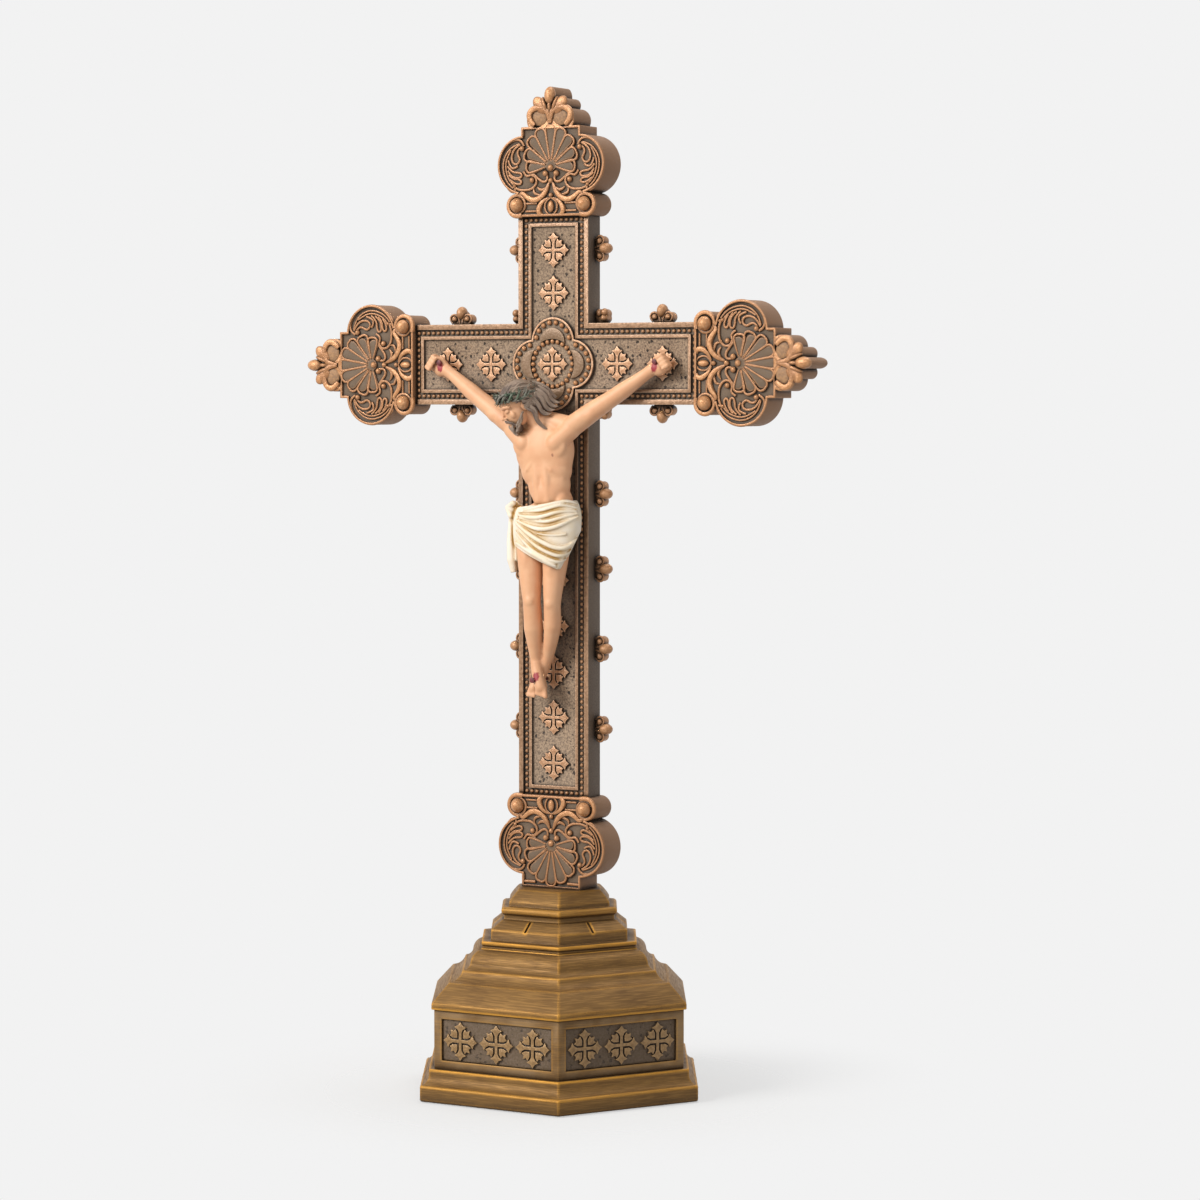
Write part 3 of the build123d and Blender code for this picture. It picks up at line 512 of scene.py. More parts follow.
def add_ball(bm, place, half_sizes, turn=None, rings=(8, 6)):
    """A ball stretched to half sizes, or of one radius, turned, and put at a place."""
    if not isinstance(half_sizes, tuple):
        half_sizes = (half_sizes,) * 3
    ball = bmesh.new()
    matrix = Matrix.Translation(place) @ (turn or Matrix()) @ Matrix.Diagonal((*half_sizes, 1))
    bmesh.ops.create_uvsphere(ball, u_segments=rings[0], v_segments=rings[1], radius=1, matrix=matrix)
    pour(ball, bm)


def leaning(degrees):
    """A turn in the plane of the cross."""
    return Matrix.Rotation(radians(degrees), 4, "Y")


def run_of_beads(bm, start, end, depth, radius, pitch):
    """Beads from the first point up to, but not on, the last."""
    count = max(1, round((end - start).length / pitch))
    for step in range(count):
        x, z = start.lerp(end, step / count)
        add_ball(bm, (x, depth, z), radius)
    return count


# %% Channel beads
CHANNEL_MIDDLE = 3.4
END_MIDDLE = 1.3
BEAD_RADIUS = 0.8
BEAD_PITCH = 2.29
BEAD_DEPTH = CROSS_FRONT + 1.05
near = ARM_HALF - CHANNEL_MIDDLE
reach = BEAM_REACH - END_MIDDLE
bottom, top = LOW_JOINT + END_MIDDLE, HIGH_JOINT - END_MIDDLE
beam_low, beam_high = CROSSING - near, CROSSING + near
right_side = [(near, bottom), (near, beam_low), (reach, beam_low)]
right_side += [(reach, beam_high), (near, beam_high), (near, top)]
channel = [Vector(p) for p in right_side] + [Vector((-x, z)) for x, z in reversed(right_side)]
beads = bmesh.new()
bead_count = 0
for corner, following in zip(channel, channel[1:] + channel[:1]):
    bead_count += run_of_beads(beads, corner, following, BEAD_DEPTH, BEAD_RADIUS, BEAD_PITCH)
make_piece("channel_beads", beads, bead_bronze)
print(bead_count, "beads in the channel")

# %% Medallion beads
RING_RADIUS = 9
RING_COUNT = 24
MEDAL_LOBE_PLACE = 8.8
MEDAL_LOBE_RADIUS = 7.7
LOBE_COUNT, LOBE_START, LOBE_STEP = 8, -77, 22
MEDAL_BEAD_RISE = 1.15
medal_depth = FIELD_FRONT - MEDAL_BEAD_RISE
medal_beads = bmesh.new()
for step in range(RING_COUNT):
    angle = 2 * pi * step / RING_COUNT
    place = (RING_RADIUS * cos(angle), medal_depth, CROSSING + RING_RADIUS * sin(angle))
    add_ball(medal_beads, place, 1.05, rings=(10, 8))
for turn in range(4):
    spin = Matrix.Rotation(turn * pi / 2, 2)
    for step in range(LOBE_COUNT):
        angle = radians(LOBE_START + LOBE_STEP * step)
        across, along = MEDAL_LOBE_RADIUS * cos(angle), MEDAL_LOBE_RADIUS * sin(angle)
        x, z = spin @ Vector((MEDAL_LOBE_PLACE + across, along))
        add_ball(medal_beads, (x, medal_depth, CROSSING + z), 1.1, rings=(10, 8))
make_piece("medallion_beads", medal_beads, relief_bronze)

# %% [markdown]
# ## Carving of the terminals
#
# Each end of the cross has the same carving: a scallop shell, two lobes of acanthus, scrolls, a tulip
# between bars, and beyond the shoulders a double heart under a leafy crest. A carver draws it once and cuts
# it four times. Here it is drawn once as smooth lines, in millimetres across and along the terminal, and
# only for one half. Every line becomes a tapering ridge by giving a curve a round bevel, and the ridges are
# mirrored and carried to the four ends.

# %% Ridges from lines


def add_tubes(bm, lines, stretch=(1, 1, 1), roundness=2, closed=False):
    """Round tubes of (radius, points), each point (x, y, z, thickness share)."""
    curve = bpy.data.curves.new("tubes", "CURVE")
    curve.dimensions = "3D"
    curve.bevel_depth = 1
    curve.bevel_resolution = roundness
    curve.resolution_u = 4
    curve.use_fill_caps = True
    for radius, points in lines:
        spline = curve.splines.new("NURBS")
        spline.points.add(len(points) - 1)
        for control, (x, y, z, *share) in zip(spline.points, points):
            control.co = (x, y, z, 1)
            control.radius = radius * (share[0] if share else 1)
        spline.use_cyclic_u = closed
        spline.order_u = 3
        spline.use_endpoint_u = not closed
    holder = bpy.data.objects.new("tubes", curve)
    mesh = bpy.data.meshes.new_from_object(holder)
    mesh.transform(Matrix.Diagonal((*stretch, 1)))
    bm.from_mesh(mesh)
    bpy.data.objects.remove(holder)
    bpy.data.curves.remove(curve)
    bpy.data.meshes.remove(mesh)


RIDGE_STRETCH = (1, 0.85, 1)


def add_ridges(bm, lines):
    """Slightly flattened tubes on the plane Y = 0, from points (across, along, thickness share)."""
    spatial = []
    for radius, points in lines:
        spatial.append((radius, [(across, 0, along, *share) for across, along, *share in points]))
    add_tubes(bm, spatial, RIDGE_STRETCH)


SHELL_ROOT = 19.8
PETAL_LINE = 0.48
# turn, length and half width of the petals beside the middle one
PETALS = ((20, 15.2, 2.0), (41, 14.4, 2.1), (66, 12.6, 2.2), (91, 10.9, 2.0))
PETAL_SHARES = ((0.5, 0.4, 0.7), (1, 0.72, 0.9), (1.25, 0.93, 1), (0.6, 1.02, 1))


def petal(turn, length, half):
    """Outline of one petal of the shell, from its root round the tip and back."""
    near_side = [(0.3, 2.6, 0.5)]
    near_side += [(half * across, length * along, share) for across, along, share in PETAL_SHARES]
    points = near_side + [(0, 1.02 * length, 1)] + [(-x, y, share) for x, y, share in reversed(near_side)]
    spin = Matrix.Rotation(-radians(turn), 2)
    return [(*(spin @ Vector((x, y)) + Vector((0, SHELL_ROOT))), share) for x, y, share in points]


shell_lines = [(PETAL_LINE, petal(*sizes)) for sizes in PETALS]
shell_middle = [(PETAL_LINE, petal(0, 16.0, 1.9))]


def volute_point(step):
    """Scroll round the ball, from the tulip's bars outward, over the top and in again."""
    angle = radians(-120 + 38 * step)
    reach = 4.5 - 0.012 * step * step
    return 15.5 + reach * cos(angle), 4.6 + reach * sin(angle), 1.15 - 0.05 * step


# %% Lines of one half of a terminal
# each line has a radius and points across and along, with a thickness share where it tapers
half_lines = [
    # lower edge of the shell
    (0.55, [
        (12.6, 18.0), (11.6, 16.0), (9.6, 16.2), (8.2, 17.0), (6.2, 15.2), (3.4, 13.2), (1.2, 14.4),
        (1.9, 16.2),
    ]),
    # scroll under the shell
    (0.55, [(9.0, 16.4), (7.0, 16.0), (6.4, 13.2), (8.6, 10.9), (12.0, 10.4), (15.4, 10.8), (17.3, 12.2)]),
    # long arcs of the acanthus lobe
    (0.55, [
        (12.4, 28.0), (13.4, 30.6), (17.8, 30.6), (22.4, 27.0), (24.4, 21.0), (23.4, 15.8), (20.6, 12.4),
        (18.4, 9.9), (15.8, 10.0), (16.8, 12.0),
    ]),
    (0.4, [(14.4, 28.9), (17.8, 28.0), (20.8, 25.0), (22.3, 21.0), (21.6, 16.6), (19.6, 13.0), (17.4, 11.4)]),
    (0.4, [(18.4, 26.6), (20.4, 23.4), (21.0, 19.8), (20.0, 16.0), (18.2, 13.4), (16.2, 12.0)]),
    # fingers of the acanthus
    (0.5, [
        (14.0, 28.6), (16.6, 27.4), (18.2, 24.4), (17.8, 21.4), (15.6, 20.6), (14.0, 22.6), (15.4, 24.6),
        (15.2, 26.6), (13.8, 27.4),
    ]),
    (0.5, [(19.6, 22.6), (19.0, 20.0), (17.0, 18.9), (15.2, 20.2)]),
    (0.5, [
        (20.0, 20.2), (18.0, 17.7), (15.0, 17.6), (13.2, 16.9), (13.8, 15.4), (16.6, 15.4), (18.6, 16.6),
        (19.8, 18.4),
    ]),
    (0.5, [(19.4, 16.8), (17.4, 14.9), (15.0, 15.0), (13.4, 14.0), (14.2, 12.8), (16.8, 13.2), (18.8, 14.8)]),
    # leafy sprig and its curls
    (0.95, [
        (0.8, 13.4, 0.5), (1.5, 11.6, 0.9), (2.6, 9.4, 1.2), (4.8, 7.2, 1.4), (8.0, 6.2, 1.35),
        (11.0, 7.6, 1.2), (13.0, 9.6, 1.0), (14.6, 8.6, 0.8), (14.6, 6.6, 0.4),
    ]),
    (0.7, [(1.6, 12.0, 0.5), (3.0, 10.3, 1.0), (5.2, 10.5, 0.95), (6.3, 11.6, 0.3)]),
    (0.6, [(3.8, 8.2, 0.6), (6.8, 8.6, 1.1), (8.3, 10.0, 0.8), (7.7, 11.8, 0.25)]),
    # leaves of the tulip
    (0.8, [
        (1.0, 7.2, 0.5), (3.0, 6.6, 1), (5.0, 4.6, 1.4), (5.9, 2.0, 1.5), (4.6, 0.6, 1.2), (3.6, 0.9, 0.5),
    ]),
    (0.4, [(0.0, 7.4), (2.4, 6.2), (3.0, 3.4), (1.8, 0.8), (0.0, 0.5)]),
    # bars between the tulip and the volute
    (0.42, [(6.4, 5.2), (9.0, 5.2), (11.6, 5.2)]),
    (0.42, [(6.8, 2.1), (9.0, 2.1), (11.6, 2.1)]),
    # edge of the shoulder
    (0.6, [(7.4, 34.9), (10.0, 34.9), (12.9, 34.9), (12.9, 34.9), (12.9, 33.4), (12.9, 32.0)]),
    # scroll of the volute
    (0.95, [volute_point(step) for step in range(13)]),
]
heart = [
    (0.1, 36.6, 0.6), (0.4, 39.8, 0.9), (2.0, 42.4), (5.8, 43.0), (9.2, 41.6), (9.6, 38.2),
    (7.0, 35.9, 0.8),
]
half_balls = [(2.5, 16.9, 1.25), (8.6, 14.4, 1.15), (13.2, 27.0, 1.15), (16.7, 12.2, 0.85)]
middle_balls = [(0.0, 19.1, 1.4), (0.0, 14.0, 1.15), (0.0, 8.3, 1.0)]
print(len(half_lines) + len(shell_lines), "lines drawn for half a terminal")

# %% Cut the carving at the four ends


def add_boss(bm, across, along, half_sizes, lean=0.0):
    """Low boss on the plane Y = 0, leaning by an angle in the plane."""
    add_ball(bm, (across, 0, along), half_sizes, leaning(lean), rings=(16, 10))


def mirrored(bm):
    """Add the mirror image."""
    bmesh.ops.mirror(bm, geom=bm.verts[:] + bm.edges[:] + bm.faces[:], axis="X", merge_dist=-1)


def carving(bm):
    """Lines and balls of both halves, and what lies on the middle line."""
    add_ridges(bm, half_lines)
    for across, along, radius in half_balls:
        add_boss(bm, across, along, radius)
    add_boss(bm, 15.4, 4.6, (3.0, 3.6, 3.0))
    mirrored(bm)
    for across, along, radius in middle_balls:
        add_boss(bm, across, along, radius)
    add_boss(bm, 0, 3.8, (1.35, 1.2, 2.5))


def shell(bm):
    """Outlines of the petals, on the raised fan."""
    add_ridges(bm, shell_lines)
    mirrored(bm)
    add_ridges(bm, shell_middle)


def crest(bm):
    """Heart, leaves and bud."""
    add_ridges(bm, [(1.4, heart)])
    add_boss(bm, 4.4, 43.6, (2.7, 1.1, 4.3), 42)
    add_boss(bm, 2.3, 43.8, (1.1, 1.4, 3.5), 20)
    mirrored(bm)
    add_boss(bm, 0, 47.4, (2.4, 2.3, 3.6))
    add_boss(bm, 0, 43.4, (1.0, 1.5, 2.6))


def stones(bm):
    """Dull cabochons inside the heart."""
    add_boss(bm, 4.8, 39.0, (3.8, 0.7, 3.4))
    mirrored(bm)


# each part of the carving, with its depth, its finish and whether the foot has it too
PARTS = (
    (carving, TERMINAL_GROUND - 0.3, relief_bronze, True),
    (shell, TERMINAL_GROUND - 0.7, relief_bronze, True),
    (crest, TERMINAL_FRONT, relief_bronze, False),
    (stones, TERMINAL_FRONT + 0.2, stone_bronze, False),
)
ENDS = {
    "top": (0, (0, 0, HIGH_JOINT)),
    "right": (90, (BEAM_REACH, 0, CROSSING)),
    "foot": (180, (0, 0, LOW_JOINT)),
    "left": (270, (-BEAM_REACH, 0, CROSSING)),
}
for end, (turn, joint) in ENDS.items():
    cast("terminal_" + end, 0.22, terminal_bronze)
    matrix = Matrix.Translation(joint) @ leaning(turn)
    for draw, depth, finish, on_foot in PARTS:
        if end == "foot" and not on_foot:
            continue
        bm = bmesh.new()
        draw(bm)
        bmesh.ops.translate(bm, vec=(0, depth, 0), verts=bm.verts)
        bmesh.ops.transform(bm, matrix=matrix, verts=bm.verts)
        bmesh.ops.recalc_face_normals(bm, faces=bm.faces)
        make_piece(f"{draw.__name__}_{end}", bm, finish)

# %% [markdown]
# ## Crockets
#
# Small trefoils stand on the edges of the cross. The solid gives their outline. Two curled leaves with a
# ball in each curl, and a bud between them, are set on its front.

# %% Crocket carving
CROCKET_LEVELS = (27.0, 59.0, 90.8, 120.6, 217.6)
CROCKET_REACH = 46.2
CROCKET_DEPTH = 0.5
CURL = ((0.5, 0.3), (0.9, 2.6), (2.4, 4.2), (4.6, 3.8), (5.2, 1.8), (3.8, 0.4))


def crocket_carving():
    """Two curls with their balls, and a bud."""
    bm = bmesh.new()
    for side in (-1, 1):
        add_ball(bm, (side * 2.9, 0.4, 2.2), (1.45, 1.5, 1.45), rings=(12, 8))
        add_ridges(bm, [(0.42, [(side * x, z) for x, z in CURL])])
    add_ball(bm, (0, 0.9, 4.6), (2.2, 2.8, 2.7), rings=(16, 12))
    return bm


crocket_places = []
for side in (-1, 1):
    crocket_places += [(side * ARM_HALF, LOW_JOINT + level, side * 90) for level in CROCKET_LEVELS]
for side in (-1, 1):
    turn = 0 if side > 0 else 180
    crocket_places += [(end * CROCKET_REACH, CROSSING + side * ARM_HALF, turn) for end in (-1, 1)]
crockets = bmesh.new()
for x, z, turn in crocket_places:
    one = crocket_carving()
    bmesh.ops.translate(one, vec=(0, CROCKET_DEPTH, 0), verts=one.verts)
    matrix = Matrix.Translation((x, 0, z)) @ leaning(turn)
    bmesh.ops.transform(one, matrix=matrix, verts=one.verts)
    pour(one, crockets)
bmesh.ops.recalc_face_normals(crockets, faces=crockets.faces)
make_piece("crocket_leaves", crockets, crocket_bronze)
CROCKET_ROWS = ["crockets_" + place for place in ("left", "right", "beam_top", "beam_bottom")]
for node in CROCKET_ROWS + ["corner_crockets"]:
    cast(node, 0.5, crocket_bronze, segments=3)

# %% Balls of the corner crockets
CORNER_BALLS = ((2.0, 4.1), (4.1, 2.0), (4.3, 4.3))
CORNER_DEPTH = 0.9
corner_balls = bmesh.new()
for turn in range(4):
    spin = Matrix.Rotation(turn * pi / 2, 2)
    for across, along in CORNER_BALLS:
        x, z = spin @ Vector((ARM_HALF + across, ARM_HALF + along))
        add_ball(corner_balls, (x, CORNER_DEPTH, CROSSING + z), 1.6, rings=(12, 8))
make_piece("corner_crocket_balls", corner_balls, crocket_bronze)

# %% [markdown]
# ## Figure
#
# A sculptor builds such a figure from simple masses: rib cage, hips, cylinders for the limbs, with muscles
# laid on top. Overlapping balls and tapering tubes do the same here. They are then fused by a remesh into
# one skin and smoothed, as clay is smoothed before a mould is taken.

# %% Helpers for fused shapes


def add_limb(bm, points):
    """Tapering tubes with round joints through points (x, y, z, radius)."""
    limb = bmesh.new()
    for x, y, z, radius in points:
        add_ball(limb, (x, y, z), radius, rings=(20, 12))
    for first, second in zip(points, points[1:]):
        start, end = Vector(first[:3]), Vector(second[:3])
        run = end - start
        matrix = Matrix.Translation((start + end) / 2) @ run.to_track_quat("Z", "Y").to_matrix().to_4x4()
        sizes = {"radius1": first[3], "radius2": second[3], "depth": run.length}
        bmesh.ops.create_cone(limb, cap_ends=True, segments=20, matrix=matrix, **sizes)
    pour(limb, bm)


def fuse(bm, voxel, smoothing):
    """One closed skin round everything in the bmesh."""
    mesh = bpy.data.meshes.new("masses")
    bm.to_mesh(mesh)
    bm.free()
    holder = show("masses", mesh)
    remesh = holder.modifiers.new("remesh", "REMESH")
    remesh.mode = "VOXEL"
    remesh.voxel_size = voxel
    smooth = holder.modifiers.new("smooth", "SMOOTH")
    smooth.iterations = smoothing
    skin = bpy.data.meshes.new_from_object(holder.evaluated_get(bpy.context.evaluated_depsgraph_get()))
    fused = bmesh.new()
    fused.from_mesh(skin)
    bpy.data.objects.remove(holder)
    bpy.data.meshes.remove(mesh)
    bpy.data.meshes.remove(skin)
    return fused


# %% [markdown]
# ## Paints of the figure
#
# The figure is painted by hand: warm skin with painted shade in its hollows, three crimson wounds and two
# small brown spots, an ivory cloth with ochre in its folds, brown hair with lighter paint and painted
# highlight on the edges of its strands, and grey-green thorns.

# %% Painted materials
SKIN = (0.82, 0.455, 0.252)
FLUSH = (0.79, 0.41, 0.22)
SKIN_SHADE = (0.50, 0.285, 0.16)
CRIMSON = (0.36, 0.035, 0.045)
BROWN = (0.42, 0.19, 0.11)
HAIR_LIGHT = (0.42, 0.31, 0.23)
# how far from its middle, in metres, a mark ends and is full
WOUND, SPOT = (0.0024, 0.0018), (0.0014, 0.0010)
MARK_RAGGED = 0.0016
MARKS = [
    ((-49.0, -11.0, 289.6), CRIMSON, WOUND),
    ((49.2, -11.0, 289.4), CRIMSON, WOUND),
    ((-1.8, -15.2, 166.6), CRIMSON, WOUND),
    ((7.7, -18.4, 254.9), BROWN, SPOT),
    ((-8.0, -17.0, 255.4), BROWN, SPOT),
]
MARK_STRETCH = (1, 1, 0.6)


def painted(name, tones, hollow=1.6, scale=160.0, roughness=0.5, hollow_share=0.85, deep=0.5):
    """A light and a dark tone mixed, and a third in the hollows, which on the skin is painted shade."""
    material, tree, shader = new_material(name, roughness)
    light, dark, hollow_tone = tones
    masks = place_group(tree, rub_tree, {"Edge": 0.6, "Hollow": hollow, "Deep": deep})
    mixed = blend(tree, ramp(tree, noise(tree, place_of(tree), scale, 3.0), 0.35, 0.65), light, dark)
    washed = blend(tree, calc(tree, "MULTIPLY", masks["Hollow"], hollow_share), mixed, hollow_tone)
    tree.links.new(washed, shader.inputs["Base Color"])
    bump(tree, shader, masks["Grain"], 0.05, 0.25)
    return material


# the third skin tone is painted shade, laid in the hollows
skin_paint = painted("skin_paint", (SKIN, FLUSH, SKIN_SHADE), hollow=2.2, hollow_share=0.75)
tree = skin_paint.node_tree
skin_place = place_of(tree)
for centre, mark_colour, reach in MARKS:
    spot = tuple(value * MM * share for value, share in zip(centre, MARK_STRETCH))
    away = vector(tree, "DISTANCE", vector(tree, "MULTIPLY", skin_place, MARK_STRETCH), spot, "Value")
    ragged = calc(tree, "MULTIPLY_ADD", noise(tree, skin_place, 700.0), MARK_RAGGED, away, clamp=False)
    paint_over(skin_paint, ramp(tree, ragged, *reach), mark_colour)

CLOTH_TONES = ((0.95, 0.85, 0.71), (0.91, 0.77, 0.56), (0.48, 0.26, 0.045))
cloth_paint = painted("cloth_paint", CLOTH_TONES, hollow=2.2, roughness=0.6, hollow_share=1.0, deep=0.76)
HAIR_TONES = ((0.14, 0.094, 0.069), (0.075, 0.046, 0.033), (0.02, 0.012, 0.008))
hair_paint = painted("hair_paint", HAIR_TONES, hollow=1.3, scale=420.0, deep=0.62)
tree = hair_paint.node_tree
# lighter paint on the edges of the locks, partly a painted highlight
hair_edge = place_group(tree, rub_tree, {"Edge": 0.5, "Hollow": 1.0})["Edge"]
paint_over(hair_paint, calc(tree, "MULTIPLY", hair_edge, 0.6), HAIR_LIGHT)
THORN_TONES = ((0.24, 0.22, 0.18), (0.075, 0.12, 0.07), (0.015, 0.016, 0.01))
thorn_paint = painted("thorn_paint", THORN_TONES, hollow=1.0, scale=330.0)
print("painted materials made")

# %% Torso, neck and legs
figure = bmesh.new()
for place, half_sizes in (
    ((0.8, -12.4, 256.5), (12.9, 7.1, 13.0)),
    ((1.2, -12.5, 252.5), (11.9, 6.6, 9.5)),
    ((1.6, -12.6, 249.0), (11.2, 6.4, 9.0)),
    ((3.0, -12.8, 243.0), (9.2, 5.9, 9.0)),
    ((3.2, -14.4, 240.0), (7.0, 4.8, 7.5)),
    ((9.2, -12.4, 235.0), (3.6, 5.0, 7.0)),
    ((2.4, -12.4, 227.0), (13.0, 7.0, 10.0)),
):
    add_ball(figure, place, half_sizes, rings=(32, 20))
for side in (-1, 1):
    add_ball(figure, (0.8 + side * 6.2, -16.6, 258.8), (6.0, 2.2, 5.8), leaning(side * 20), rings=(28, 16))
    shoulder = [(0.8 + side * 7.0, -16.0, 259.5, 4.0), (side * 13.2, -13.4, 264.8, 3.9)]
    collar = [(side * 2.0 - 1, -12.2, 268.5, 3.8), (side * 12.5, -12.4, 266.2, 3.9)]
    rib_arch = [(1.0 + side * 2.0, -18.2, 252.4, 0.9), (1.4 + side * 5.4, -17.9, 249.0, 0.9)]
    rib_arch.append((1.8 + side * 8.8, -14.9, 245.5, 0.8))
    belly = [(1.6 + side * 2.2, -16.9, 251.0, 2.1), (2.4 + side * 2.2, -17.2, 245.0, 2.1)]
    belly.append((3.0 + side * 2.0, -17.0, 237.0, 2.1))
    for muscle in (shoulder, collar, rib_arch, belly):
        add_limb(figure, muscle)
    for rib in range(3):
        level = 254.2 - 2.8 * rib
        across = 9.4 - 0.7 * rib
        back = (1.6 + side * (across + 1.0), -11.8, level + 2.0, 0.8)
        add_limb(figure, [back, (1.6 + side * across, -15.0, level + 0.4, 0.8)])
add_limb(figure, [(-0.8, -12.6, 266.0, 4.5), (-3.3, -14.6, 270.5, 4.1), (-6.2, -17.0, 274.0, 3.8)])
near_leg = [
    (-5.2, -13.0, 224.0, 6.3), (-4.9, -14.0, 212.6, 5.3), (-4.0, -15.2, 203.0, 4.3),
    (-3.3, -15.9, 196.7, 3.6), (-3.4, -14.8, 190.0, 3.8), (-3.5, -14.2, 186.0, 3.9),
    (-3.7, -12.6, 178.5, 3.0), (-3.8, -11.6, 173.5, 2.4), (-3.2, -12.0, 170.0, 2.5),
    (-1.8, -12.8, 165.5, 2.6), (-0.6, -13.2, 162.6, 2.5),
]
far_leg = [
    (6.6, -12.6, 224.0, 6.3), (6.0, -14.0, 208.6, 4.7), (5.9, -15.2, 200.0, 3.8), (5.8, -15.4, 195.5, 3.4),
    (5.2, -14.0, 187.5, 3.5), (3.2, -12.2, 180.7, 2.9), (0.8, -10.2, 174.7, 2.3), (-1.6, -9.0, 170.0, 2.3),
    (-4.0, -9.6, 165.0, 2.3), (-5.6, -10.6, 161.8, 2.1),
]
add_limb(figure, near_leg)
add_limb(figure, far_leg)
for place, half_sizes, rings in (
    ((-4.9, -16.6, 213.0), (2.8, 3.0, 8.5), (16, 12)),
    ((6.2, -16.4, 211.0), (2.6, 2.8, 8.0), (16, 12)),
    ((-3.1, -18.4, 197.0), (2.3, 1.5, 2.6), (16, 10)),
    ((5.7, -17.8, 196.0), (2.2, 1.4, 2.5), (16, 10)),
):
    add_ball(figure, place, half_sizes, rings=rings)
for toe in range(5):
    across = -2.2 + 1.08 * toe
    thick = 0.72 if toe < 4 else 0.95
    near_root, near_tip = (-0.5 + 0.8 * across, -13.6, 162.0), (-0.2 + across, -14.0, 159.9 - 0.25 * toe)
    far_root, far_tip = (-5.7 + 0.7 * across, -11.2, 161.4), (-6.2 + 0.75 * across, -11.8, 159.0 - 0.1 * toe)
    add_limb(figure, [(*near_root, thick), (*near_tip, thick)])
    add_limb(figure, [(*far_root, 0.68), (*far_tip, 0.68)])
print("body masses:", len(figure.faces), "faces")

# %% Arms and hands
ARM = [
    (13.2, -12.8, 265.9, 4.3), (17.0, -12.7, 268.3, 4.2), (22.0, -12.1, 271.7, 4.0),
    (27.0, -11.5, 274.8, 3.6), (30.8, -11.0, 277.2, 3.35), (35.0, -10.3, 280.0, 3.3),
    (40.0, -9.4, 283.4, 2.75), (44.4, -8.8, 286.4, 2.4), (47.4, -8.8, 288.3, 2.5),
]
for side in (-1, 1):
    along, over = Vector((side * 0.82, 0, 0.57)), Vector((side * -0.57, 0, 0.82))
    add_limb(figure, [(side * x, y, z, radius) for x, y, z, radius in ARM])
    add_ball(figure, (side * 21.5, -13.0, 270.4), (5.2, 3.4, 3.2), leaning(-side * 34), rings=(20, 12))
    palm = Vector((side * 50.2, -8.2, 289.2))
    add_ball(figure, palm, (3.9, 2.7, 3.5), leaning(-side * 35), rings=(20, 12))
    for finger in range(4):
        knuckle = palm + along * 2.8 + over * (2.6 - 1.7 * finger)
        bend = knuckle + along * 1.9 + Vector((0, -1.1, 0))
        tip = bend + along * -0.3 + Vector((0, -2.2, 0))
        curl = tip + along * -2.0 + Vector((0, -0.4, 0))
        add_limb(figure, [(*knuckle, 0.98), (*bend, 0.96), (*tip, 0.9), (*curl, 0.8)])
    thumb = [palm + along * -1.4 + over * 2.3, palm + along * 0.8 + over * 3.5 + Vector((0, -1.2, 0))]
    thumb.append(palm + along * 2.6 + over * 3.0 + Vector((0, -2.6, 0)))
    add_limb(figure, [(*point, radius) for point, radius in zip(thumb, (1.2, 1.0, 0.8))])
skin = fuse(figure, voxel=0.38, smoothing=12)
make_piece("figure_skin", skin, skin_paint, ["corpus", "arm_left", "arm_right"], 180)

# %% [markdown]
# ## Head
#
# The head hangs forward and to one side. It is built upright at the origin on the classical scheme, with
# the eyes halfway up, the nose a quarter below them and the ears level with the nose, and then turned as a
# whole. The eyes are closed and the face is a plain, calm type.

# %% Face
HEAD_PLACE = Matrix.Translation((-8.4, -18.6, 275.2))
HEAD_SCALE = 1.04
HEAD_TURN = Matrix()
for degrees, axis in ((22, "X"), (-18, "Y"), (-38, "Z")):
    HEAD_TURN = HEAD_TURN @ Matrix.Rotation(radians(degrees), 4, axis)
HEAD = HEAD_PLACE @ HEAD_TURN @ Matrix.Scale(HEAD_SCALE, 4)
face = bmesh.new()
for place, half_sizes in (
    ((0, 1.0, 1.4), (5.8, 7.0, 5.6)),
    ((0, -1.6, -2.6), (4.9, 5.0, 6.0)),
    ((0, -4.8, -7.0), (2.2, 1.8, 1.6)),
):
    add_ball(face, place, half_sizes, rings=(32, 20))
add_limb(face, [(0, -6.1, 0.6, 0.5), (0, -7.1, -1.6, 0.6), (0, -7.8, -2.9, 0.72)])
for side in (-1, 1):
    brow = [(side * 0.7, -6.3, 0.8, 0.6), (side * 2.4, -6.1, 1.15, 0.7), (side * 4.0, -4.7, 0.7, 0.6)]
    lid = [(side * 1.3, -6.0, -0.85, 0.28), (side * 2.3, -6.35, -1.05, 0.3), (side * 3.3, -5.6, -0.8, 0.28)]
    add_limb(face, brow)
    add_ball(face, (side * 2.25, -5.3, -0.5), (1.3, 1.1, 0.8), rings=(16, 10))
    add_limb(face, lid)
    add_ball(face, (side * 3.0, -4.3, -2.6), (1.9, 1.3, 1.7), rings=(16, 10))
    add_ball(face, (side * 0.75, -6.9, -3.1), (0.5, 0.65, 0.45), rings=(12, 8))
    add_ball(face, (side * 5.7, 0.6, -1.2), (0.8, 1.5, 2.1), rings=(16, 10))
add_limb(face, [(-1.5, -6.0, -5.0, 0.4), (0, -6.7, -4.75, 0.5), (1.5, -6.0, -5.0, 0.4)])
add_limb(face, [(-1.2, -5.9, -5.75, 0.42), (0, -6.5, -5.8, 0.55), (1.2, -5.9, -5.75, 0.42)])
face = fuse(face, voxel=0.2, smoothing=4)
bmesh.ops.transform(face, matrix=HEAD, verts=face.verts)
make_piece("face", face, skin_paint, ["head"], 180)

# %% [markdown]
# ## Hair and beard
#
# Long wavy hair and a short beard are modelled as locks. A smooth mass lies under them, so that no gap
# shows. Each lock is a tapering tube that waves a little from side to side.

# %% Locks


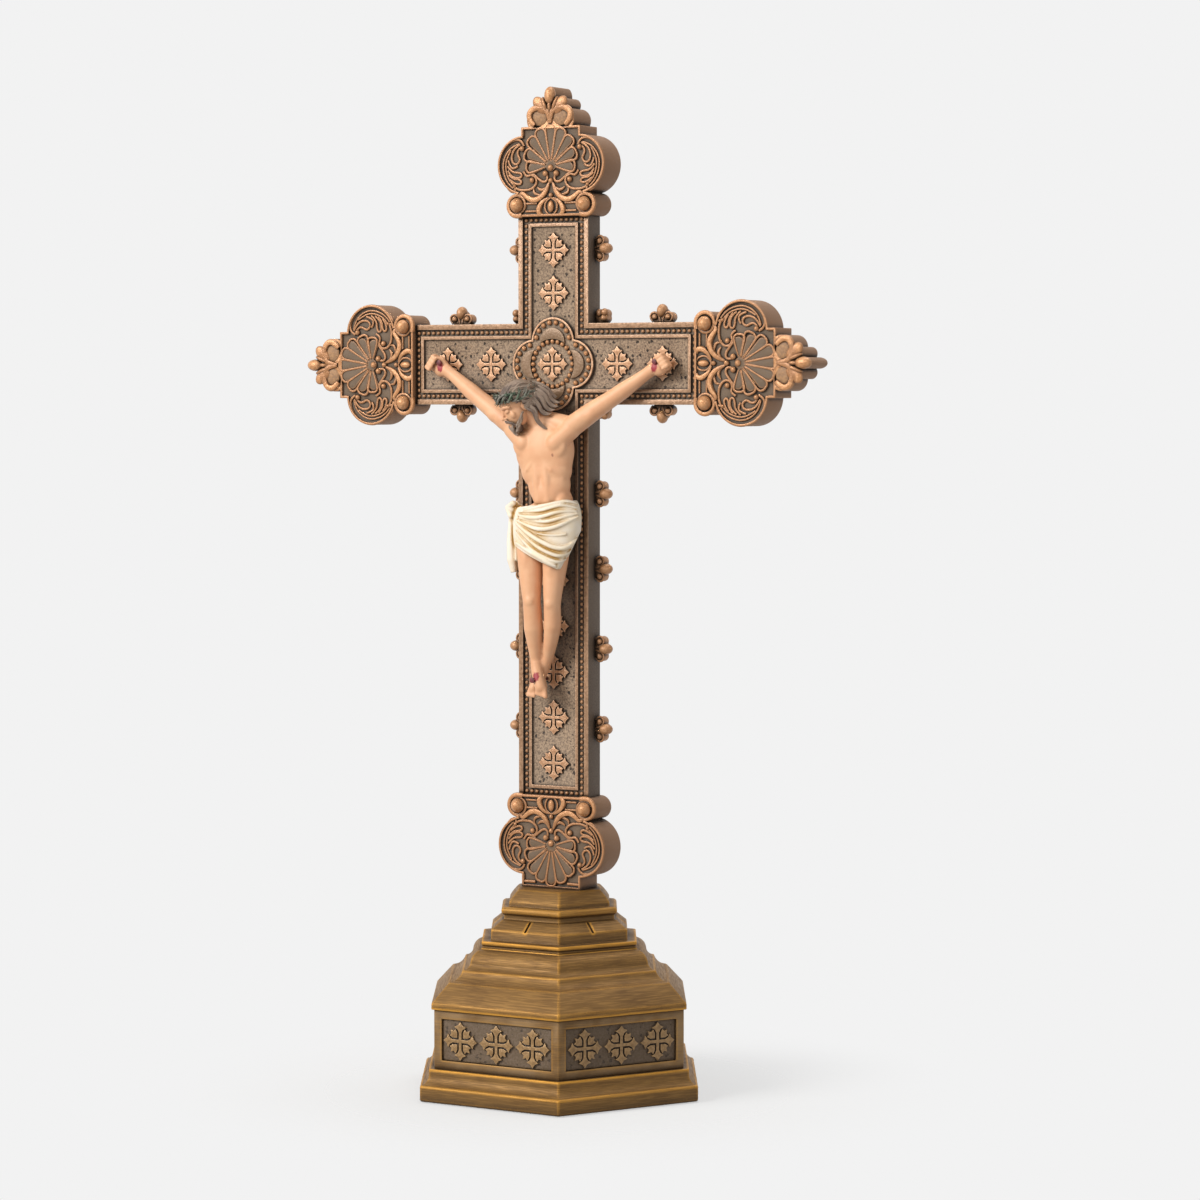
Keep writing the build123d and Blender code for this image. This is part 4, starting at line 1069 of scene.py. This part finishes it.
def lock(start, end, bulge, waves, swing, steps=9):
    """Points of a wavy lock from start to end that bulges outward on the way."""
    start, end, bulge = Vector(start), Vector(end), Vector(bulge)
    across = (end - start).cross(bulge).normalized()
    points = []
    for step in range(steps):
        share = step / (steps - 1)
        place = start.lerp(end, share) + bulge * sin(pi * share)
        place += across * swing * sin(2 * pi * waves * share)
        points.append((*place, 0.55 + 0.45 * sin(pi * min(1, 0.25 + 0.75 * share))))
    return points


hair = bmesh.new()
add_ball(hair, (0, 2.3, 1.7), (6.3, 6.8, 6.5), rings=(32, 20))
add_ball(hair, (0, 5.6, -1.6), (5.0, 3.8, 5.2), rings=(24, 16))
add_ball(hair, (0, 1.6, 3.0), (6.1, 6.8, 4.4), rings=(32, 20))
for row in range(-4, 5):
    across, drop = 1.3 * row, 0.12 * row * row
    over = [
        (0.9 * across, -5.0 + drop, 5.0 - drop), (across, -1.6, 7.3 - drop),
        (1.05 * across + 0.5, 2.5, 7.5 - drop), (across - 0.3, 6.4, 6.0 - drop), (0.8 * across, 8.4, 3.4),
    ]
    add_tubes(hair, [(0.75, over)])
for side in (-1, 1):
    for row in range(9):
        level = 6.2 - 1.05 * row
        first = 58 if level > 1.6 else 76
        inset = 6.6 * (1 - max(0, level - 2.5) ** 2 / 42) ** 0.5
        swept = []
        for step in range(13):
            share = step / 12
            angle = radians(first + (178 - first) * share)
            drop = 3.4 * share * share + 0.5 * sin(14 * share + 1.9 * row)
            x, y = side * inset * sin(angle), 2.0 - (inset + 0.8) * cos(angle)
            swept.append((x, y, level - drop, 1 - 0.3 * share))
        strand = [(1.07 * x, 1.05 * y, z + 0.55) for x, y, z, share in swept]
        add_tubes(hair, [(0.82, swept), (0.4, strand)])
    for row in range(6):
        start = (side * (5.1 - 0.3 * row), -0.8 - 0.75 * row, -3.2 - 0.65 * row)
        end = (side * (1.7 - 0.2 * row), -5.0 - 0.2 * row, -8.6 - 0.4 * row)
        strand = lock(start, end, (side * (0.6 + 0.3 * (row % 2)), -0.5, -0.6), 2.2, 0.5)
        tip = (side * (0.4 + 0.2 * row), -5.3, -11.4 + 0.45 * row)
        chin = lock((side * 0.45 * row, -5.8, -6.4), tip, (0, -0.9, 0), 1.4, 0.3)
        add_tubes(hair, [(0.42, strand), (0.45, chin)])
    moustache = [(side * 0.3, -7.2, -4.1, 0.6), (side * 1.6, -6.9, -4.5), (side * 2.8, -5.6, -5.8)]
    moustache.append((side * 3.2, -4.8, -7.4, 0.4))
    add_tubes(hair, [(0.55, moustache)])
add_ball(hair, (0, -4.0, -7.9), (2.7, 2.0, 2.8), rings=(20, 14))
bmesh.ops.transform(hair, matrix=HEAD, verts=hair.verts)

# %% Long locks over the shoulder
add_ball(hair, (0.2, -13.6, 275.4), (3.8, 3.2, 3.8), rings=(24, 16))
# middle lines of the locks, from the front one back
falls = [
    [
        (-4.9, -21.4, 274.8), (-2.0, -21.6, 273.2), (0.4, -21.0, 272.1), (1.0, -20.2, 270.1),
        (1.1, -19.6, 268.1), (2.7, -18.8, 266.1), (4.5, -18.0, 264.8),
    ],
    [
        (-6.4, -20.4, 276.8), (-2.7, -20.4, 277.2), (0.1, -19.8, 276.0), (1.5, -19.0, 273.6),
        (2.4, -18.2, 271.3), (4.5, -17.2, 270.5), (5.6, -16.6, 270.9),
    ],
    [
        (-6.5, -19.4, 277.9), (-2.4, -19.4, 278.7), (0.9, -18.8, 277.9), (2.7, -18.0, 276.0),
        (3.6, -17.2, 273.2), (5.3, -16.2, 272.0), (6.8, -15.6, 272.4),
    ],
    [
        (-6.7, -18.4, 279.1), (-2.2, -18.2, 280.1), (1.6, -17.6, 279.1), (3.4, -16.8, 277.2),
        (4.3, -16.0, 274.8), (6.0, -15.0, 273.6), (7.5, -14.4, 273.6),
    ],
    [
        (-7.4, -17.2, 280.3), (-3.0, -16.8, 281.3), (1.1, -16.0, 280.5), (3.4, -15.2, 278.7),
        (4.4, -14.6, 276.4), (6.2, -13.8, 275.2), (7.7, -13.2, 275.2),
    ],
    [
        (-8.1, -16.0, 281.5), (-4.3, -15.4, 282.3), (-0.2, -14.6, 281.9), (2.5, -13.8, 280.3),
        (4.0, -13.2, 278.3), (5.8, -12.4, 277.2),
    ],
]
for path in falls:
    for shift in range(3):
        strand = []
        for index, (x, y, z) in enumerate(path):
            share = 0.12 + 0.88 * sin(pi * (index + 1.6) / (len(path) + 0.8))
            apart = 1 - 0.75 * index / (len(path) - 1)
            sway = 0.55 * sin(2.1 * shift + 1.7 * index)
            aside = (0.3 * shift + sway) * apart
            strand.append((x + aside, y + 0.3 * shift, z + (0.75 * shift - sway) * apart, share))
        add_tubes(hair, [((0.75, 0.5, 0.62)[shift], strand)])
bmesh.ops.recalc_face_normals(hair, faces=hair.faces)
make_piece("hair", hair, hair_paint, (), 180)

# %% [markdown]
# ## Crown of thorns
#
# Thin twigs are twisted round one another and round the head, and short pointed thorns stand out of them in
# all directions.

# %% Crown
CROWN_LEVEL, CROWN_ACROSS, CROWN_ALONG = 3.2, 6.8, 7.3
CROWN_BACK = 1.2
CROWN_DROP = 0.2
TWIGS, TWIG_STEPS, THORNS = 5, 72, 80
crown = bmesh.new()
twigs = []
for twig in range(TWIGS):
    points = []
    for step in range(TWIG_STEPS):
        angle = 2 * pi * step / TWIG_STEPS
        twist = 4 * angle + 2 * pi * twig / TWIGS + 0.7 * sin(3 * angle + 1.7 * twig)
        reach = 0.8 * cos(twist)
        rise = 1.3 * sin(twist) + 0.3 * sin(7 * angle + 2.3 * twig)
        x, y = (CROWN_ACROSS + reach) * sin(angle), CROWN_BACK - (CROWN_ALONG + reach) * cos(angle)
        points.append((x, y, CROWN_LEVEL + rise - CROWN_DROP * y))
    twigs.append((0.5, points))
add_tubes(crown, twigs, closed=True)
for thorn in range(THORNS):
    angle = 2 * pi * thorn / THORNS
    lean = 2.4 * thorn
    back = CROWN_BACK - CROWN_ALONG * cos(angle)
    root = Vector((CROWN_ACROSS * sin(angle), back, CROWN_LEVEL + 1.2 * sin(lean) - CROWN_DROP * back))
    aim = Vector((sin(angle) + 0.7 * cos(angle), -cos(angle) + 0.7 * sin(angle), 1.2 * sin(lean) + 0.7))
    aim.normalize()
    matrix = Matrix.Translation(root + aim * 1.2) @ aim.to_track_quat("Z", "Y").to_matrix().to_4x4()
    sizes = {"radius1": 0.45, "radius2": 0.05, "depth": 2.3}
    bmesh.ops.create_cone(crown, cap_ends=True, segments=6, matrix=matrix, **sizes)
bmesh.ops.transform(crown, matrix=HEAD, verts=crown.verts)
bmesh.ops.recalc_face_normals(crown, faces=crown.faces)
make_piece("crown_of_thorns", crown, thorn_paint, ["crown"])

# %% [markdown]
# ## Loincloth
#
# The cloth is part of the casting, so it is stiff. The folds spread from the knot on one hip, cross the
# front and roll round the other hip. Each fold is a tapering ridge that is dropped onto the wrapped body by
# casting a ray toward its axis. The whole is then fused, so that ridges and cloth are one surface, and its
# hem is cut up to the hip.

# %% Folds dropped onto the cloth
CLOTH_AXIS = Vector((1.75, -12.3))
RAY_START, RAY_LIMIT = 40, 36
FOLD_RISE = 0.4
cloth = solid_copy("loincloth")
cloth_tree = BVHTree.FromBMesh(cloth)
# each fold has a radius and points of an angle round the axis and a level
FOLDS = [
    (1.0, [(-140, 232.8), (-97, 234.0), (-57, 235.2), (-30, 236.2), (-11, 236.6), (1, 235.4)]),
    (1.0, [(-151, 232.2), (-91, 232.4), (-48, 234.2), (-24, 235.4), (-4, 233.8)]),
    (1.1, [(-151, 231.0), (-122, 230.0), (-75, 230.2), (-31, 233.0), (-6, 232.6)]),
    (1.1, [(-145, 229.8), (-75, 227.8), (-31, 230.2), (-4, 231.8)]),
    (1.15, [(-151, 229.0), (-107, 226.0), (-62, 225.4), (-27, 227.8), (-4, 230.6)]),
    (1.25, [(-154, 228.2), (-122, 224.6), (-75, 220.6), (-40, 217.8), (-18, 218.6), (-2, 222.2)]),
    (1.15, [(-140, 225.0), (-97, 219.8), (-57, 216.2), (-30, 214.6), (-10, 217.4)]),
    (1.1, [(-151, 224.6), (-107, 217.8), (-62, 214.2), (-36, 212.2), (-20, 214.0)]),
    (1.2, [(-151, 220.2), (-107, 216.8), (-72, 214.2), (-54, 212.0), (-42, 211.0)]),
    (0.9, [(-88, 224.0), (-48, 222.6), (-24, 223.8)]),
]
ridges = []
for radius, path in FOLDS:
    points = []
    last = len(path) - 1
    for index, (angle, level) in enumerate(path):
        outward = Vector((cos(radians(angle)), sin(radians(angle)), 0))
        start = Vector((*CLOTH_AXIS, level)) + RAY_START * outward
        hit = cloth_tree.ray_cast(start, -outward)[0]
        if hit and (hit - start).length < RAY_LIMIT:
            points.append((*(hit + outward * FOLD_RISE), 0.4 if index in (0, last) else 0.9))
    ridges.append((radius, points))
add_tubes(cloth, ridges, roundness=3)

# %% Knot and hanging end
add_ball(cloth, (-13.6, -13.2, 233.4), (2.6, 2.6, 2.2), leaning(30), rings=(20, 12))
add_limb(cloth, [(-12.0, -15.6, 235.4, 1.2), (-15.2, -13.6, 233.6, 1.5), (-13.6, -14.6, 230.6, 1.3)])
for fold in range(4):
    x = -15.6 + 1.35 * fold
    y = -9.6 - 1.0 * fold
    tip = (x - 0.5, y + 0.3, 214.6 - 1.1 * (fold % 2), 1.3)
    add_limb(cloth, [(-13.9, -12.4, 232.0, 1.2), (x, y, 223.0, 1.1), tip])
cloth = fuse(cloth, voxel=0.25, smoothing=1)
parts = cloth.verts[:] + cloth.edges[:] + cloth.faces[:]
HEM = {"plane_co": (16.7, -12.0, 224.4), "plane_no": (0.787, 0.437, -0.436)}
cut = bmesh.ops.bisect_plane(cloth, geom=parts, clear_outer=True, **HEM)
cut_edges = [part for part in cut["geom_cut"] if isinstance(part, bmesh.types.BMEdge)]
bmesh.ops.triangle_fill(cloth, edges=cut_edges, use_beauty=True)
bmesh.ops.recalc_face_normals(cloth, faces=cloth.faces)
make_piece("loincloth_cast", cloth, cloth_paint, ["loincloth"], 60)

# %% [markdown]
# ## Nails, felt and hidden steel
#
# The nails are small and painted like the wounds round them. A felt pad lies under the foot, and a steel
# rod with a washer and a nut ties the plinth to the cross. Nobody sees the rod, but it still has its
# finish.

# %% Small parts
NAIL_TONES = ((0.20, 0.03, 0.035), (0.10, 0.02, 0.02), WASH_AND_SHADE)
FELT_TONES = ((0.035, 0.05, 0.038), (0.022, 0.034, 0.025), WASH_AND_SHADE)
STEEL_TONES = ((0.56, 0.56, 0.57), (0.47, 0.47, 0.48), (0.2, 0.2, 0.2))
nail_paint = painted("nail_paint", NAIL_TONES, scale=900.0)
cast("nails", 0.2, nail_paint, "nails_painted")
felt = painted("felt", FELT_TONES, scale=2500.0, roughness=0.95)
steel = painted("turned_steel", STEEL_TONES, scale=800.0, roughness=0.35)
steel.node_tree.nodes["Principled BSDF"].inputs["Metallic"].default_value = 1.0
for node, material in (("felt_pad", felt), ("tie_rod", steel), ("tie_washer", steel), ("tie_nut", steel)):
    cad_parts[node].data.materials.clear()
    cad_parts[node].data.materials.append(material)
print("small parts finished")

# %% [markdown]
# ## Studio
#
# The photograph has a pale seamless ground and soft light from the front left. A round floor fades out into
# the background, so that there is no horizon, and it keeps the soft shadow under the plinth. A broad key
# lamp, a weak lamp from above and a narrow fill on the figure make the light. The camera stands where the
# photograph was taken: a long lens a little above the middle, turned thirty degrees to the right of the
# front.

# %% Floor
PALE = 0.888
FLOOR_RADIUS = 0.6
floor_bm = bmesh.new()
bmesh.ops.create_circle(floor_bm, cap_ends=True, radius=FLOOR_RADIUS, segments=96)
floor_mesh = bpy.data.meshes.new("floor")
floor_bm.to_mesh(floor_mesh)
floor_bm.free()
floor = show("floor", floor_mesh)
floor_material = bpy.data.materials.new("pale_floor")
floor_material.use_nodes = True
tree = floor_material.node_tree
tree.nodes.clear()
floor_diffuse = wire(tree, "BsdfDiffuse", inputs={"Color": (0.8, 0.8, 0.8, 1)})
floor_clear = wire(tree, "BsdfTransparent")
floor_far = vector(tree, "LENGTH", place_of(tree), output="Value")
floor_fade = ramp(tree, floor_far, 0.06, 0.17, 0.62, 1.0)
floor_parts = {0: floor_fade, 1: floor_diffuse.outputs[0], 2: floor_clear.outputs[0]}
floor_mix = wire(tree, "MixShader", inputs=floor_parts)
wire(tree, "OutputMaterial", inputs={"Surface": floor_mix.outputs[0]})
floor_mesh.materials.append(floor_material)

# %% World, lamps and camera
world = bpy.data.worlds.new("studio")
bpy.context.scene.world = world
world.use_nodes = True
tree = world.node_tree
tree.nodes.clear()
path = wire(tree, "LightPath")
direct = calc(tree, "MAXIMUM", path.outputs["Is Camera Ray"], path.outputs["Is Transmission Ray"])
seen = calc(tree, "MAXIMUM", direct, path.outputs["Is Glossy Ray"])
room = wire(tree, "Background", inputs={"Color": (1, 0.98, 0.96, 1), "Strength": 0.36})
backdrop = wire(tree, "Background", inputs={"Color": (PALE, PALE, PALE, 1), "Strength": 1.0})
world_mix = wire(tree, "MixShader", inputs={0: seen, 1: room.outputs[0], 2: backdrop.outputs[0]})
wire(tree, "OutputWorld", inputs={"Surface": world_mix.outputs[0]})


def lamp(name, place, aim, size, watts, colour=(1, 1, 1), spread=180):
    """A round lamp that looks at a point, with its spread in degrees."""
    light = bpy.data.lights.new(name, "AREA")
    light.shape = "DISK"
    light.size = size
    light.energy = watts
    light.color = colour
    light.spread = radians(spread)
    holder = show(name, light)
    holder.location = place
    holder.rotation_euler = (Vector(aim) - Vector(place)).to_track_quat("-Z", "Y").to_euler()


lamp("key_lamp", (-1.0, -1.7, 1.25), (0, 0, 0.2), 1.2, 46, (1, 0.985, 0.96))
lamp("fill_lamp", (1.2, -1.3, 0.5), (0, 0, 0.25), 0.12, 0.012, spread=8)
lamp("top_lamp", (0.2, 0.3, 1.9), (0, 0, 0.2), 0.9, 12)

LENS, SENSOR = 112.46, 36
CAMERA_PLACE = (0.7564, -1.2896, 0.2773)
CAMERA_DROP, CAMERA_TURN = 3.09, 29.77
camera_data = bpy.data.cameras.new("camera")
camera_data.sensor_width = SENSOR
camera_data.lens = LENS
camera = show("camera", camera_data)
camera.location = CAMERA_PLACE
camera.rotation_euler = (radians(90 - CAMERA_DROP), 0, radians(CAMERA_TURN))
bpy.context.scene.camera = camera
bpy.context.scene.view_settings.view_transform = "Standard"
print("studio ready")
